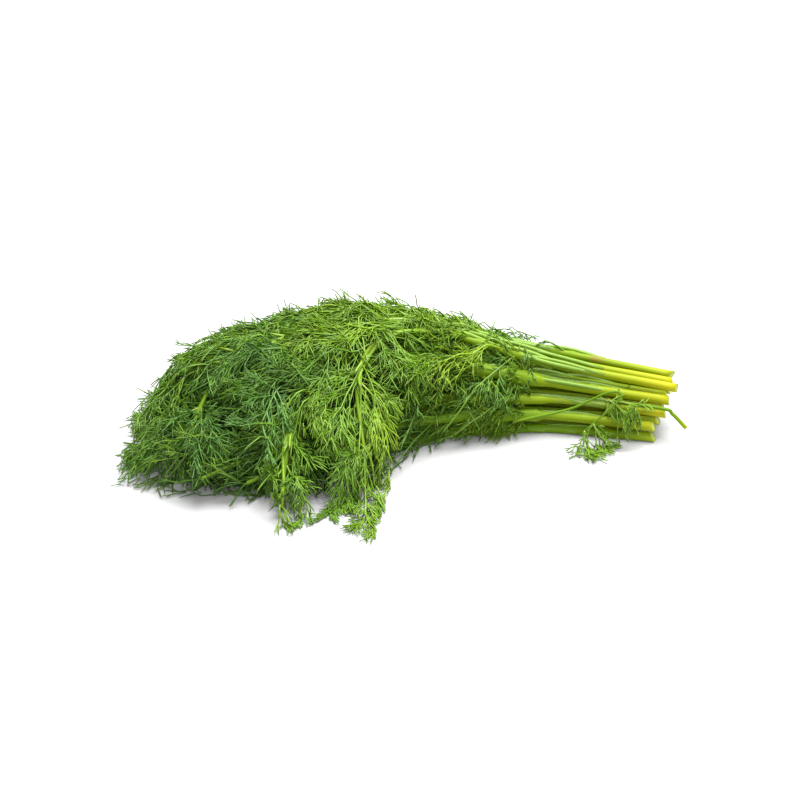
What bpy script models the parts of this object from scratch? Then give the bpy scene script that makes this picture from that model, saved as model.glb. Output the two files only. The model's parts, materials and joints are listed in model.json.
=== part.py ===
"""A bunch of fresh dill, lying on a table: leafy stems cut to one length, their feathery fronds in a heap.

Run it with blender --background --python part.py, or from Blender's text editor.
Metres, +Z up. The table is the plane Z = 0, the cut ends point along +X and the origin lies under the
middle of the whole bunch. Each leafy stem is one closed solid: a stalk, the ribs of its fronds and their
threads, grown by the same rules and joined by one Boolean union.
"""

import math

import bmesh
import bpy
import numpy as np
from mathutils import Matrix, Vector

# ---------------------------------------------------------------- driving dimensions
SEED = 41
BUNCH_MIDDLE = (0.0026, 0.0101)  # where the middle of the bunch falls on the plan below

CUT_END_X = 0.1232  # where the lowest stalks are cut
CUT_STEP = 0.0034  # each layer of stalks reaches this much further
LAYERS = (6, 6, 5, 4, 3)  # stalks side by side in each layer of the bundle, from the table up
PITCH = 0.0060  # from one stalk to the next in a layer
LAYER_RISE = 0.0061  # from one layer to the next
STALK_RADIUS = (0.0018, 0.0025)  # thinnest and thickest stalk, at the cut
STALK_TAPER = 0.64  # share of its radius that a stalk loses by its tip
STALK_BEND = 0.0011  # how far a stalk may bow away from its straight pieces
SWAY = (0.0004, 0.0004, 0.0006, 0.0007, 0.0011)  # how far the stalks of each layer stray sideways
SWAY_SEED = 36  # fixes that stray
TABLE_BITE = 0.0004  # how far the lowest stalks are pressed flat against the table

# The bunch's spine on the table, from the cut ends to the leaf tips, and what the bundle does at each of
# its five stations: how it spreads to the front and to the back, and how far its layers part in height.
SPINE = ((0.130, 0.026), (0.075, 0.037), (0.015, 0.043), (-0.045, 0.030), (-0.105, 0.002))
SPREAD_FRONT = (1.0, 1.25, 2.1, 3.6, 4.7)
SPREAD_BACK = (1.0, 1.8, 2.5, 3.0, 3.4)
LIFT = (1.0, 1.30, 1.50, 1.55, 0.90)

# The heap of leaves: its crest above each station along X, and how far it reaches to front and back.
HEAP_X = (-0.148, -0.138, -0.126, -0.116, -0.100, -0.060, -0.020, 0.020, 0.060, 0.100, 0.150)
HEAP_TOP = (0.008, 0.014, 0.026, 0.042, 0.048, 0.056, 0.062, 0.056, 0.046, 0.037, 0.031)
HEAP_MIDDLE = (-0.012, -0.006, 0.006, 0.014, 0.022, 0.034, 0.040, 0.044, 0.042, 0.036, 0.030)
HEAP_FRONT = (0.024, 0.036, 0.050, 0.066, 0.084, 0.104, 0.088, 0.052, 0.038, 0.034, 0.034)
HEAP_BACK = (0.014, 0.022, 0.034, 0.052, 0.060, 0.064, 0.064, 0.056, 0.046, 0.036, 0.032)

FROND_LENGTH = (0.044, 0.066)
FRONDS_PER_STALK = 3  # besides the one that ends the stalk
FROND_START = (0.46, 0.44, 0.40, 0.30, 0.24)  # share of a stalk of each layer that is bare
RIB_POINTS = 4
RIB_RADIUS = 0.00085
THREAD_RADIUS = 0.00050  # at the root, which is sunk in the rib
THREAD_LENGTH = (0.018, 0.011)  # at the foot of a frond and at its tip
THREAD_NODES = 4  # pairs of threads along a rib
SMALL_FROND = 0.6  # a frond whose threads are at most this times the usual length has one pair fewer
GAP = 0.0004  # least air between two stems
FROND_GREEN = (0.10, 0.20, 0.035)
STALK_GREEN = (0.28, 0.38, 0.035)
ROUGHNESS = 0.6
SLIVER = 1.5e-4  # two points of a union this near are made one
ON_TABLE = 1e-6  # a point no higher than this lies on the table


def smooth_path(points, count):
    """A Catmull-Rom curve through the points, as count points at equal distances along it."""
    p = np.asarray(points, float)
    p = np.vstack([2 * p[0] - p[1], p, 2 * p[-1] - p[-2]])
    t = np.linspace(0, 1, 16, endpoint=False)[:, None]
    spans = [
        0.5 * (2 * b + (c - a) * t + (2 * a - 5 * b + 4 * c - d) * t**2 + (3 * b - a - 3 * c + d) * t**3)
        for a, b, c, d in zip(p, p[1:], p[2:], p[3:])
    ]
    dense = np.vstack(spans + [p[-2:-1]])
    return along(dense, np.linspace(0, 1, count))


def along(line, shares):
    """The points at these shares of a line's length."""
    run = np.concatenate([[0], np.cumsum(np.linalg.norm(np.diff(line, axis=0), axis=1))])
    at = np.asarray(shares) * run[-1]
    return np.stack([np.interp(at, run, line[:, k]) for k in range(3)], axis=-1)


def straightened(line, bow):
    """The few points that keep a line within bow of its shape, as their numbers in the line."""
    chord, off = line[-1] - line[0], line - line[0]
    share = np.clip(off @ chord / (chord @ chord), 0, 1)
    away = np.linalg.norm(off - share[:, None] * chord, axis=1)
    far = int(away.argmax())
    if away[far] <= bow:
        return [0, len(line) - 1]
    return straightened(line[: far + 1], bow)[:-1] + [far + i for i in straightened(line[far:], bow)]


def unit(v):
    return v / np.maximum(np.linalg.norm(v, axis=-1, keepdims=True), 1e-12)


def heap_across(x, y):
    """How far out a point of the table lies in the heap: 0 at its middle, 1 at its edge."""
    middle, front, back = (np.interp(x, HEAP_X, v) for v in (HEAP_MIDDLE, HEAP_FRONT, HEAP_BACK))
    end = max(0.0, (HEAP_X[0] - x) / 0.010)
    return max(abs(y - middle) / (front if y < middle else back), end)


def heap_top(x, y):
    """Height of the heap's surface over a point of the table: a rounded cross-section, 0 outside it."""
    return np.interp(x, HEAP_X, HEAP_TOP) * max(0.0, 1 - heap_across(x, y) ** 2.2) ** 0.55


# ---------------------------------------------------------------- the growth plan
# Stalks that end where they show: two drape over the front of the heap, one bends down at its left.
SHOWN_ENDINGS = {
    (4, 0): (
        (0.022, 0.038, 0.048), (-0.010, 0.020, 0.053), (-0.0215, 0.000, 0.0425), (-0.019, -0.024, 0.0265),
        (-0.018, -0.032, 0.021),
    ),
    (3, 0): (
        (0.010, 0.026, 0.039), (-0.030, 0.006, 0.040), (-0.052, -0.022, 0.028), (-0.0565, -0.042, 0.014),
        (-0.057, -0.061, 0.006),
    ),
    (4, 1): (
        (0.015, 0.045, 0.049), (-0.045, 0.034, 0.050), (-0.086, 0.020, 0.040), (-0.100, 0.002, 0.0275),
        (-0.107, -0.014, 0.0150),
    ),
}
# A thin piece of stalk that slips out of the front of the bundle at the cut, and a small leaf against it.
THIN_STEM = (
    (0.1455, 0.0085, 0.0085), (0.1362, 0.0115, 0.0168), (0.125, 0.0128, 0.0192), (0.112, 0.0150, 0.0200),
    (0.098, 0.0178, 0.0206),
)
STRAY_LEAF = (
    (0.0575, 0.0125, 0.0100), (0.0845, 0.0130, 0.0166), (0.104, 0.0118, 0.0272), (0.1115, 0.0080, 0.0280),
    (0.103, 0.0060, 0.0180), (0.0935, 0.0060, 0.0085),
)
# Fronds placed by hand where they show: the stem that bears each, the share of it where it leaves, the
# rib's line after that, and how many times the usual length its threads have.
SHOWN_FRONDS = (
    # the two joints of the stalk that drapes over the front, the second at its end
    ("stem_22", 0.83, ((-0.0130, -0.011, 0.0370), (-0.0070, -0.026, 0.0235), (-0.0050, -0.040, 0.0130)), 1.0),
    ("stem_22", 0.83, ((-0.032, -0.004, 0.0440), (-0.040, -0.013, 0.0390), (-0.0400, -0.029, 0.0290)), 0.8),
    ("stem_22", 1.00, ((-0.011, -0.045, 0.0150), (-0.007, -0.057, 0.0070)), 0.8),
    ("stem_22", 1.00, ((-0.025, -0.044, 0.0160), (-0.033, -0.058, 0.0070)), 0.8),
    ("stem_22", 1.00, ((-0.017, -0.054, 0.0100), (-0.016, -0.067, 0.0040), (-0.011, -0.076, 0.0022)), 0.8),
    # the same on the stalk left of it
    ("stem_18", 0.84, ((-0.066, -0.034, 0.0240), (-0.076, -0.044, 0.0180)), 0.8),
    ("stem_18", 0.90, ((-0.050, -0.053, 0.0120), (-0.046, -0.064, 0.0060)), 0.7),
    ("stem_18", 0.90, ((-0.063, -0.053, 0.0120), (-0.069, -0.062, 0.0060)), 0.7),
    ("stem_18", 1.00, ((-0.0580, -0.069, 0.0045), (-0.0600, -0.077, 0.0025)), 0.7),
    # the star between them and the left end of the heap
    ("stem_18", 0.66, ((-0.050, 0.004, 0.0400), (-0.062, -0.008, 0.0370), (-0.066, -0.018, 0.0330)), 1.2),
    ("stem_23", 0.93, ((-0.118, -0.006, 0.0180), (-0.134, -0.014, 0.0080)), 0.9),
    ("stem_23", 0.93, ((-0.098, -0.020, 0.0260), (-0.096, -0.036, 0.0190)), 1.0),
    ("stem_23", 1.00, ((-0.114, -0.024, 0.0090), (-0.121, -0.034, 0.0040)), 0.9),
    ("stem_23", 0.98, ((-0.119, -0.016, 0.0110), (-0.131, -0.024, 0.0045)), 0.9),
    # an open fan on the table in front of them
    ("stem_23", 1.00, ((-0.104, -0.026, 0.0120), (-0.101, -0.046, 0.0030)), 0.8),
    # over the crest and down to the right
    (
        "stem_23", 0.63,
        ((-0.024, 0.028, 0.062), (-0.009, 0.020, 0.057), (0.006, 0.008, 0.045), (0.013, -0.002, 0.032)), 1.2,
    ),
    # the back of the heap, out to its left end
    ("stem_24", 1.00, ((-0.102, 0.024, 0.0350), (-0.116, 0.016, 0.0330)), 0.9),
    ("stem_24", 0.96, ((-0.108, 0.014, 0.0300), (-0.128, 0.002, 0.0170)), 0.8),
    ("stem_24", 0.74, ((-0.060, 0.046, 0.0500), (-0.090, 0.044, 0.0420)), 1.0),
    ("stem_24", 0.90, ((-0.088, 0.044, 0.0400), (-0.110, 0.034, 0.0380)), 0.9),
    ("stem_21", 0.92, ((-0.080, 0.056, 0.0300), (-0.104, 0.048, 0.0240)), 0.9),
    ("stem_23", 0.72, ((-0.086, 0.034, 0.0480), (-0.102, 0.032, 0.0440), (-0.117, 0.024, 0.0380)), 0.9),
    # along the front of the bundle, right of the heap
    ("stem_22", 0.36, ((0.038, 0.012, 0.0300), (0.029, 0.003, 0.0210), (0.019, -0.003, 0.0100)), 0.8),
    ("stem_18", 0.29, ((0.046, 0.0110, 0.0190), (0.034, 0.004, 0.0135), (0.025, 0.001, 0.0070)), 0.7),
    # a thin one hanging over the top stalks, and wisps along the back of the bundle
    ("stem_24", 0.22, ((0.0610, 0.0470, 0.0445), (0.0625, 0.0360, 0.0430), (0.0655, 0.0260, 0.0330)), 0.45),
    ("stem_24", 0.28, ((0.048, 0.056, 0.0390), (0.034, 0.060, 0.0390)), 0.6),
    ("stem_21", 0.26, ((0.056, 0.058, 0.0330), (0.044, 0.063, 0.0330)), 0.6),
    # the small leaf
    ("stray_leaf", 1.00, ((0.0930, 0.0000, 0.0040), (0.0960, -0.0050, 0.0020)), 0.50),
    ("stray_leaf", 0.93, ((0.1000, 0.0030, 0.0090), (0.1060, 0.0010, 0.0040)), 0.45),
    ("stray_leaf", 0.55, ((0.1150, 0.0075, 0.0250), (0.1210, 0.0075, 0.0220)), 0.50),
    ("stray_leaf", 0.60, ((0.1120, 0.0050, 0.0220), (0.1140, 0.0050, 0.0160)), 0.45),
)


def plan_stalks(rng):
    """Every stalk's centreline and radii: a heap of parallel stalks at the cut that fans out in layers."""
    stray = np.random.default_rng(SWAY_SEED)
    stalks = []
    for layer, count in enumerate(LAYERS):
        for column in range(count):
            across = (column - (count - 1) / 2) * PITCH
            radius = rng.uniform(*STALK_RADIUS)
            spread = SPREAD_FRONT if across < 0 else SPREAD_BACK
            line = [
                (x, y + across * spread[j], radius * 0.85 + layer * LAYER_RISE * LIFT[j])
                for j, (x, y) in enumerate(SPINE)
            ]
            line[0] = (CUT_END_X + layer * CUT_STEP + rng.uniform(0, 0.004), *line[0][1:])
            line = [(x, y + stray.uniform(-1, 1) * SWAY[layer], z) for x, y, z in line]
            reach = 0.88 + rng.uniform(-0.07, 0.10)
            if (layer, column) in SHOWN_ENDINGS:
                line = line[:2] + list(SHOWN_ENDINGS[layer, column])
                reach = 1.0
            path = smooth_path(line, 121)[: int(120 * reach) + 1]
            radii = radius * (1 - STALK_TAPER * np.linspace(0, 1, len(path)) ** 1.3)
            if layer == 0:  # the lowest layer lies on the table all the way
                path[:, 2] = radii - TABLE_BITE
            name = f"stem_{len(stalks) + 1:02d}"
            stalks.append({"name": name, "layer": layer, "path": path, "radii": radii})
    for name, line, radius in (("thin_stem", THIN_STEM, 0.0011), ("stray_leaf", STRAY_LEAF, 0.0008)):
        path = smooth_path(line, 121)
        radii = radius * (1 - 0.4 * np.linspace(0, 1, len(path)))
        stalks.append({"name": name, "layer": -1, "path": path, "radii": radii})
    for stalk in stalks:
        kept = straightened(stalk["path"], STALK_BEND)
        stalk["path"], stalk["radii"] = stalk["path"][kept], stalk["radii"][kept]
    return stalks


def nearest(a0, a1, b0, b1):
    """Least distance between each segment a0-a1 and each segment b0-b1, as a matrix."""
    d1, d2 = (a1 - a0)[:, None], (b1 - b0)[None]
    r = a0[:, None] - b0[None]
    a, e = (d1 * d1).sum(-1), (d2 * d2).sum(-1)
    b, c, f = (d1 * d2).sum(-1), (d1 * r).sum(-1), (d2 * r).sum(-1)
    s = np.clip((b * f - c * e) / np.maximum(a * e - b * b, 1e-18), 0, 1)
    t = np.clip((b * s + f) / np.maximum(e, 1e-18), 0, 1)
    s = np.clip((b * t - c) / np.maximum(a, 1e-18), 0, 1)
    return np.linalg.norm(r + d1 * s[..., None] - d2 * t[..., None], axis=-1)


class Room:
    """The space that is taken: capsules, each with the number of the stem that it belongs to."""

    def __init__(self):
        self.start = self.end = np.zeros((0, 3))
        self.radius = np.zeros(0)
        self.owner = np.zeros(0, int)

    def take(self, line, radii, owner):
        line = np.asarray(line)
        self.start = np.vstack([self.start, line[:-1]])
        self.end = np.vstack([self.end, line[1:]])
        self.radius = np.concatenate([self.radius, np.broadcast_to(radii, len(line) - 1)])
        self.owner = np.concatenate([self.owner, np.full(len(line) - 1, owner)])

    def air(self, line, radius, owner):
        """Least air between a new piece of a stem and every other stem."""
        line = np.asarray(line)
        low, high = line.min(0) - 0.006, line.max(0) + 0.006
        near = (np.minimum(self.start, self.end) < high).all(1)
        near &= (np.maximum(self.start, self.end) > low).all(1)
        near &= self.owner != owner
        if not near.any():
            return 1.0
        apart = nearest(line[:-1], line[1:], self.start[near], self.end[near])
        return float((apart - self.radius[near] - radius).min())


def frond_line(base, heading, length, droop):
    """A rib that starts along heading, sinks under its weight and keeps below the heap's surface."""
    line, step = [np.asarray(base, float)], length / (RIB_POINTS - 1)
    d = unit(np.asarray(heading, float))
    for _ in range(RIB_POINTS - 1):
        x, y, _ = line[-1]
        outward = np.clip((y - np.interp(x, HEAP_X, HEAP_MIDDLE)) / 0.04, -1, 1)
        d = unit(d + droop * np.array([-0.15, 0.30 * outward, -1.0]))
        p = line[-1] + step * d
        p[2] = min(p[2], heap_top(p[0], p[1]) - 0.002)
        p = line[-1] + step * unit(p - line[-1])
        p[2] = max(p[2], 0.0016)
        line.append(p)
        d = unit(line[-1] - line[-2])
    return np.array(line)


def plan_fronds(stalks, rng):
    """Where each stalk's fronds leave it, and the line of each rib, clear of every other stem."""
    room = Room()
    for owner, stalk in enumerate(stalks):
        room.take(stalk["path"], stalk["radii"][:-1], owner)
    fronds = []  # the shown ones first, in the order of their list
    for bearer, share, rest, size in SHOWN_FRONDS:
        owner = [stalk["name"] for stalk in stalks].index(bearer)
        for attempt in range(80):
            nudged = np.array(rest) + rng.normal(0, 0.00007 * attempt, (len(rest), 3))
            line = smooth_path(np.vstack([along(stalks[owner]["path"], share), nudged]), RIB_POINTS + 1)
            line[:, 2] = np.maximum(line[:, 2], 0.0012)
            if room.air(line, RIB_RADIUS, owner) > GAP:
                break
        room.take(line, RIB_RADIUS, owner)
        fronds.append({"stem": owner, "line": line, "size": size})
    for owner, stalk in enumerate(stalks[:-2]):
        turn = rng.uniform(0, 2 * math.pi)
        start = FROND_START[stalk["layer"]]
        shown = [at for bearer, at, _, _ in SHOWN_FRONDS if bearer == stalk["name"]]
        ended = 1.0 in shown
        count = FRONDS_PER_STALK - (len(shown) > 3)
        for k in range(count + (not ended)):
            last = k == count
            share = 1.0 if last else start + (0.97 - start) * (k + rng.uniform(0.05, 0.7)) / count
            base = along(stalk["path"], share)
            tangent = unit(base - along(stalk["path"], share - 0.05))
            side = unit(np.cross(tangent, (0, 0, 1.0)))
            over = np.cross(side, tangent)
            best = None
            for attempt in range(60):
                angle = turn + k * 2.4 + rng.uniform(-0.8, 0.8) * min(1, attempt / 6)
                opening = rng.uniform(0.10, 0.30) if last else rng.uniform(0.5, 1.0)
                out = math.cos(angle) * side + (abs(math.sin(angle)) * 0.9 - 0.1) * over
                heading = math.cos(opening) * tangent + math.sin(opening) * out
                length = rng.uniform(*FROND_LENGTH) * (0.75 if last else 1.0) * (1 - 0.008 * attempt)
                line = frond_line(base, heading, length, rng.uniform(0.05, 0.35))
                air = room.air(line, RIB_RADIUS, owner)
                spill = max(0.0, heap_across(line[-1][0], line[-1][1]) - 0.97)
                if best is None or min(air, GAP * 2) - spill * 0.02 > best[0]:
                    best = (min(air, GAP * 2) - spill * 0.02, line, air)
                if air > GAP and spill == 0:
                    break
            if best[2] <= GAP:
                continue
            room.take(best[1], RIB_RADIUS, owner)
            fronds.append({"stem": owner, "line": best[1], "size": 1.0})
    return fronds, room


def plan_threads(fronds, room, rng):
    """The threads of every frond: pairs along its rib, each clear of the other stems and of the table."""
    threads = []
    for frond in fronds:
        line = frond["line"]
        chord = unit(line[-1] - line[0])
        up = unit(np.array([0.0, -0.45, 1.0]) - chord * (chord @ (0.0, -0.45, 1.0)))
        lean = rng.uniform(-0.9, 0.9)
        across = np.cross(chord, up) * math.cos(lean) + up * math.sin(lean)
        normal = np.cross(across, chord)
        nodes = THREAD_NODES - (frond["size"] <= SMALL_FROND)
        for node in range(nodes):
            share = 0.16 + 0.84 * (node + rng.uniform(-0.25, 0.1)) / (nodes - 1)
            share = float(np.clip(share, 0.1, 1.0))
            root = along(line, share)
            tangent = unit(along(line, min(1.0, share + 0.05)) - along(line, share - 0.06))
            length = frond["size"] * np.interp(share, (0, 1), THREAD_LENGTH)
            for sign in (-1, 1):
                for attempt in range(14):
                    wild = 0.25 + 0.08 * attempt
                    open_ = rng.uniform(0.75, 1.15) if node < nodes - 1 else rng.uniform(0.15, 0.5)
                    out = sign * across + rng.uniform(-wild, wild) * normal
                    d = unit(math.cos(open_) * tangent + math.sin(open_) * unit(out))
                    tip = root + d * length * rng.uniform(0.8, 1.15) * (1 - 0.03 * attempt)
                    if tip[2] < 0.0008 or tip[2] > heap_top(tip[0], tip[1]) + 0.004 + 0.02 * (attempt > 8):
                        continue
                    if room.air(np.array([root, tip]), THREAD_RADIUS * 0.9, frond["stem"]) < GAP * 0.8:
                        continue
                    room.take(np.array([root, tip]), THREAD_RADIUS * 0.9, frond["stem"])
                    threads.append({"stem": frond["stem"], "root": root, "tip": tip})
                    break
    return threads


# ---------------------------------------------------------------- building the solids
def clear_scene():
    for thing in list(bpy.data.objects):
        bpy.data.objects.remove(thing, do_unlink=True)


def green(name, color):
    """A node's own material: matte and of one plain colour."""
    material = bpy.data.materials.new(name + "_green")
    material.use_nodes = True
    shader = material.node_tree.nodes["Principled BSDF"]
    shader.inputs["Base Color"].default_value = (*color, 1)
    shader.inputs["Roughness"].default_value = ROUGHNESS
    shader.inputs["Metallic"].default_value = 0.0
    return material


def tube(name, line, radii, resolution):
    """A round rod with flat ends along a line, as a mesh with its rings of vertices welded."""
    curve = bpy.data.curves.new(name, "CURVE")
    curve.dimensions = "3D"
    curve.bevel_depth = 1.0
    curve.bevel_resolution = resolution
    curve.use_fill_caps = True
    spline = curve.splines.new("POLY")
    spline.points.add(len(line) - 1)
    for point, place, radius in zip(spline.points, line, radii):
        point.co = (*place, 1)
        point.radius = radius
    holder = bpy.data.objects.new(name, curve)
    bpy.context.scene.collection.objects.link(holder)
    shape = holder.evaluated_get(bpy.context.evaluated_depsgraph_get())
    mesh = bpy.data.meshes.new_from_object(shape)
    bpy.data.objects.remove(holder, do_unlink=True)
    bm = bmesh.new()
    bm.from_mesh(mesh)
    bmesh.ops.remove_doubles(bm, verts=bm.verts, dist=1e-6)
    bmesh.ops.recalc_face_normals(bm, faces=bm.faces)
    bm.to_mesh(mesh)
    bm.free()
    return bpy.data.objects.new(name, mesh)


def thread(name, root, tip):
    """A thread of a leaf: a slender three-sided cone with its base sunk in the rib."""
    root, way = Vector(root), Vector(tip) - Vector(root)
    turn = way.to_track_quat("Z", "Y").to_matrix().to_4x4()
    place = Matrix.Translation(root + way / 2) @ turn
    bm = bmesh.new()
    bmesh.ops.create_cone(
        bm, cap_ends=True, segments=3, radius1=THREAD_RADIUS, radius2=0, depth=way.length, matrix=place
    )
    bmesh.ops.remove_doubles(bm, verts=bm.verts, dist=1e-7)
    mesh = bpy.data.meshes.new(name)
    bm.to_mesh(mesh)
    bm.free()
    return bpy.data.objects.new(name, mesh)


def table_block():
    """The space under the table, which presses the lowest stalks flat."""
    bm = bmesh.new()
    place = Matrix.Translation((0, 0, -0.01)) @ Matrix.Diagonal((1, 1, 0.02, 1))
    bmesh.ops.create_cube(bm, size=1, matrix=place)
    mesh = bpy.data.meshes.new("table_block")
    bm.to_mesh(mesh)
    bm.free()
    block = bpy.data.objects.new("table_block", mesh)
    bpy.context.scene.collection.objects.link(block)
    block.hide_render = True
    block.display_type = "WIRE"
    return block


def applied(thing):
    """Bakes a body's modifiers into its mesh."""
    shape = thing.evaluated_get(bpy.context.evaluated_depsgraph_get())
    mesh = bpy.data.meshes.new_from_object(shape)
    thing.modifiers.clear()
    thing.data = mesh
    mesh.name = thing.name


def bodies_of(bm):
    """The vertices of each separate body in a mesh, smallest body first."""
    left, bodies = set(bm.verts), []
    while left:
        body, front = set(), [left.pop()]
        while front:
            vert = front.pop()
            body.add(vert)
            found = [edge.other_vert(vert) for edge in vert.link_edges if edge.other_vert(vert) in left]
            left.difference_update(found)
            front.extend(found)
        bodies.append(body)
    return sorted(bodies, key=len)


def around(vert):
    return {edge.other_vert(vert) for edge in vert.link_edges}


def merge_slivers(bm, sliver):
    """Makes one point of the two ends of each very short edge, wherever the mesh stays closed by it."""
    merged = True
    while merged:
        merged, busy = False, set()
        short = [edge for edge in bm.edges if edge.calc_length() < sliver]
        for edge in sorted(short, key=lambda edge: edge.calc_length()):
            if not edge.is_valid:
                continue
            a, b = edge.verts
            near = around(a) | around(b)
            if near & busy or len(around(a) & around(b)) != 2:
                continue
            low = min(a, b, key=lambda vert: vert.co.z)
            place = low.co.copy() if low.co.z < ON_TABLE else (a.co + b.co) / 2
            bmesh.ops.pointmerge(bm, verts=[a, b], merge_co=place)
            busy = {vert for vert in busy | near if vert.is_valid}
            merged = True


def drop_flaps(bm):
    """Removes two faces wherever they lie back to back on the same three points."""
    first, flaps = {}, []
    for face in bm.faces:
        twin = first.setdefault(frozenset(face.verts), face)
        if twin is not face:
            flaps += [face, twin]
    bmesh.ops.delete(bm, geom=flaps, context="FACES")


def part_double_edges(bm):
    """Turns one diagonal wherever two flat spots of the mesh were divided along the same edge."""
    for edge in [edge for edge in bm.edges if len(edge.link_faces) == 4]:
        first = edge.link_faces[0]
        twin = max(edge.link_faces[1:], key=lambda face: face.normal.dot(first.normal))
        others = [face for face in edge.link_faces if face not in (first, twin)]
        for one, two in ((first, twin), others):
            loop = next(loop for loop in one.loops if loop.edge == edge)
            u, v, p = loop.vert, loop.link_loop_next.vert, loop.link_loop_prev.vert
            q = next(vert for vert in two.verts if vert not in (u, v))
            sides = (p.co - u.co).cross(q.co - u.co), (p.co - v.co).cross(q.co - v.co)
            if bm.edges.get((p, q)) or sides[0].dot(sides[1]) > 0:
                continue
            bm.faces.remove(one)
            bm.faces.remove(two)
            bm.faces.new((p, u, q))
            bm.faces.new((q, v, p))
            break


def closed_stem(thing):
    """Drops scraps beside the stem, merges the slivers the union left, and sees that the solid is closed."""
    bm = bmesh.new()
    bm.from_mesh(thing.data)
    for body in bodies_of(bm)[:-1]:
        bmesh.ops.delete(bm, geom=list(body), context="VERTS")
    bmesh.ops.triangulate(bm, faces=bm.faces, ngon_method="EAR_CLIP")
    bm.normal_update()
    drop_flaps(bm)
    part_double_edges(bm)
    merge_slivers(bm, SLIVER)
    closed = all(edge.is_manifold for edge in bm.edges) and len(bodies_of(bm)) == 1
    bm.to_mesh(thing.data)
    bm.free()
    return closed


def leafy_stem(stalk, ribs, threads, block):
    """One leafy stem: stalk, ribs and threads joined by one union, and flat where it lies on the table."""
    name = stalk["name"]
    body = tube(name, stalk["path"], stalk["radii"], 1)
    bpy.context.scene.collection.objects.link(body)
    growth = bpy.data.collections.new(name + "_growth")
    bpy.context.scene.collection.children.link(growth)
    for k, line in enumerate(ribs):
        radii = RIB_RADIUS * np.linspace(1.0, 0.8, len(line))
        growth.objects.link(tube(f"{name}_rib_{k}", line, radii, 0))
    for k, (root, tip) in enumerate(threads):
        growth.objects.link(thread(f"{name}_thread_{k}", root, tip))
    if ribs:
        union = body.modifiers.new("union", "BOOLEAN")
        union.operation = "UNION"
        union.operand_type = "COLLECTION"
        union.collection = growth
        union.solver = "MANIFOLD"
    if stalk["layer"] == 0:
        flat = body.modifiers.new("flat", "BOOLEAN")
        flat.operation = "DIFFERENCE"
        flat.object = block
        flat.solver = "MANIFOLD"
    applied(body)
    for piece in list(growth.objects):
        bpy.data.objects.remove(piece, do_unlink=True)
    bpy.data.collections.remove(growth)
    closed = closed_stem(body)
    body.data.materials.clear()
    body.data.materials.append(green(name, FROND_GREEN if ribs else STALK_GREEN))
    print(f"{name}: {len(body.data.polygons)} triangles, {'closed' if closed else 'OPEN'}")
    return body


def main():
    clear_scene()
    rng = np.random.default_rng(SEED)
    stalks = plan_stalks(rng)
    fronds, room = plan_fronds(stalks, rng)
    threads = plan_threads(fronds, room, rng)
    shift = np.array([*BUNCH_MIDDLE, 0.0])
    block = table_block()
    total = 0
    for owner, stalk in enumerate(stalks):
        stalk["path"] = stalk["path"] - shift
        ribs = [frond["line"] - shift for frond in fronds if frond["stem"] == owner]
        own = [(t["root"] - shift, t["tip"] - shift) for t in threads if t["stem"] == owner]
        body = leafy_stem(stalk, ribs, own, block)
        total += len(body.data.polygons)
    bpy.data.objects.remove(block, do_unlink=True)
    print(f"{len(stalks)} stems, {len(fronds)} fronds, {len(threads)} threads, {total} triangles")
    corners = np.vstack([[tuple(v.co) for v in thing.data.vertices] for thing in bpy.data.objects])
    print("low corner", corners.min(0).round(5), "high corner", corners.max(0).round(5))


main()
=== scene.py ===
"""The looks of a bunch of fresh dill: striped stalks with pale cut ends, and fronds down to the last thread.

The growth plan is the one that the solids are built from: the same stalks and ribs, from the same seed.
Every frond is then grown out from its rib: pinnae, sprigs and threads, each a slender closed cone along a
curve, all worked out as whole numpy arrays. Metres, +Z up, the table is Z = 0. The tables of lines and of
outlines are in millimetres, which mm() turns into metres.
"""

import json
import math
from collections import namedtuple
from dataclasses import dataclass

import bpy
import numpy as np
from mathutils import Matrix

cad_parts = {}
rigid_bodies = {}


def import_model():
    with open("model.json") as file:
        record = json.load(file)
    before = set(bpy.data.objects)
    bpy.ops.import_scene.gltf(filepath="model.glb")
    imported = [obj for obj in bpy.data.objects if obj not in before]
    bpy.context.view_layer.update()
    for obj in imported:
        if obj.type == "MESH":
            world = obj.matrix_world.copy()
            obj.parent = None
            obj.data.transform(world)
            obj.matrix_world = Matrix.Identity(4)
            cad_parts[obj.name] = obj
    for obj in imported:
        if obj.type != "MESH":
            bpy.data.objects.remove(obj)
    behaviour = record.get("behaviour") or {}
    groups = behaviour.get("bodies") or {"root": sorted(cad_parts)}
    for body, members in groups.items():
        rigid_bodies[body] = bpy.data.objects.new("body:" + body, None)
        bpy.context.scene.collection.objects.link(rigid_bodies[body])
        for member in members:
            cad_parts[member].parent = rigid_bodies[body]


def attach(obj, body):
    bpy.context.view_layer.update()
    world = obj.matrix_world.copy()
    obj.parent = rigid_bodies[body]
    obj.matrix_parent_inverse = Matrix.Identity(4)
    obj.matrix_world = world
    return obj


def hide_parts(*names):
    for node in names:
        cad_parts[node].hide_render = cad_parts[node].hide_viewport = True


for thing in list(bpy.data.objects):
    bpy.data.objects.remove(thing, do_unlink=True)
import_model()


def mm(values):
    """Numbers in millimetres as an array in metres."""
    return np.array(values) / 1000


# ---------------- driving dimensions
SEED = 41
BUNCH_MIDDLE = (0.0026, 0.0101)  # where the middle of the bunch falls on the plan below

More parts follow.
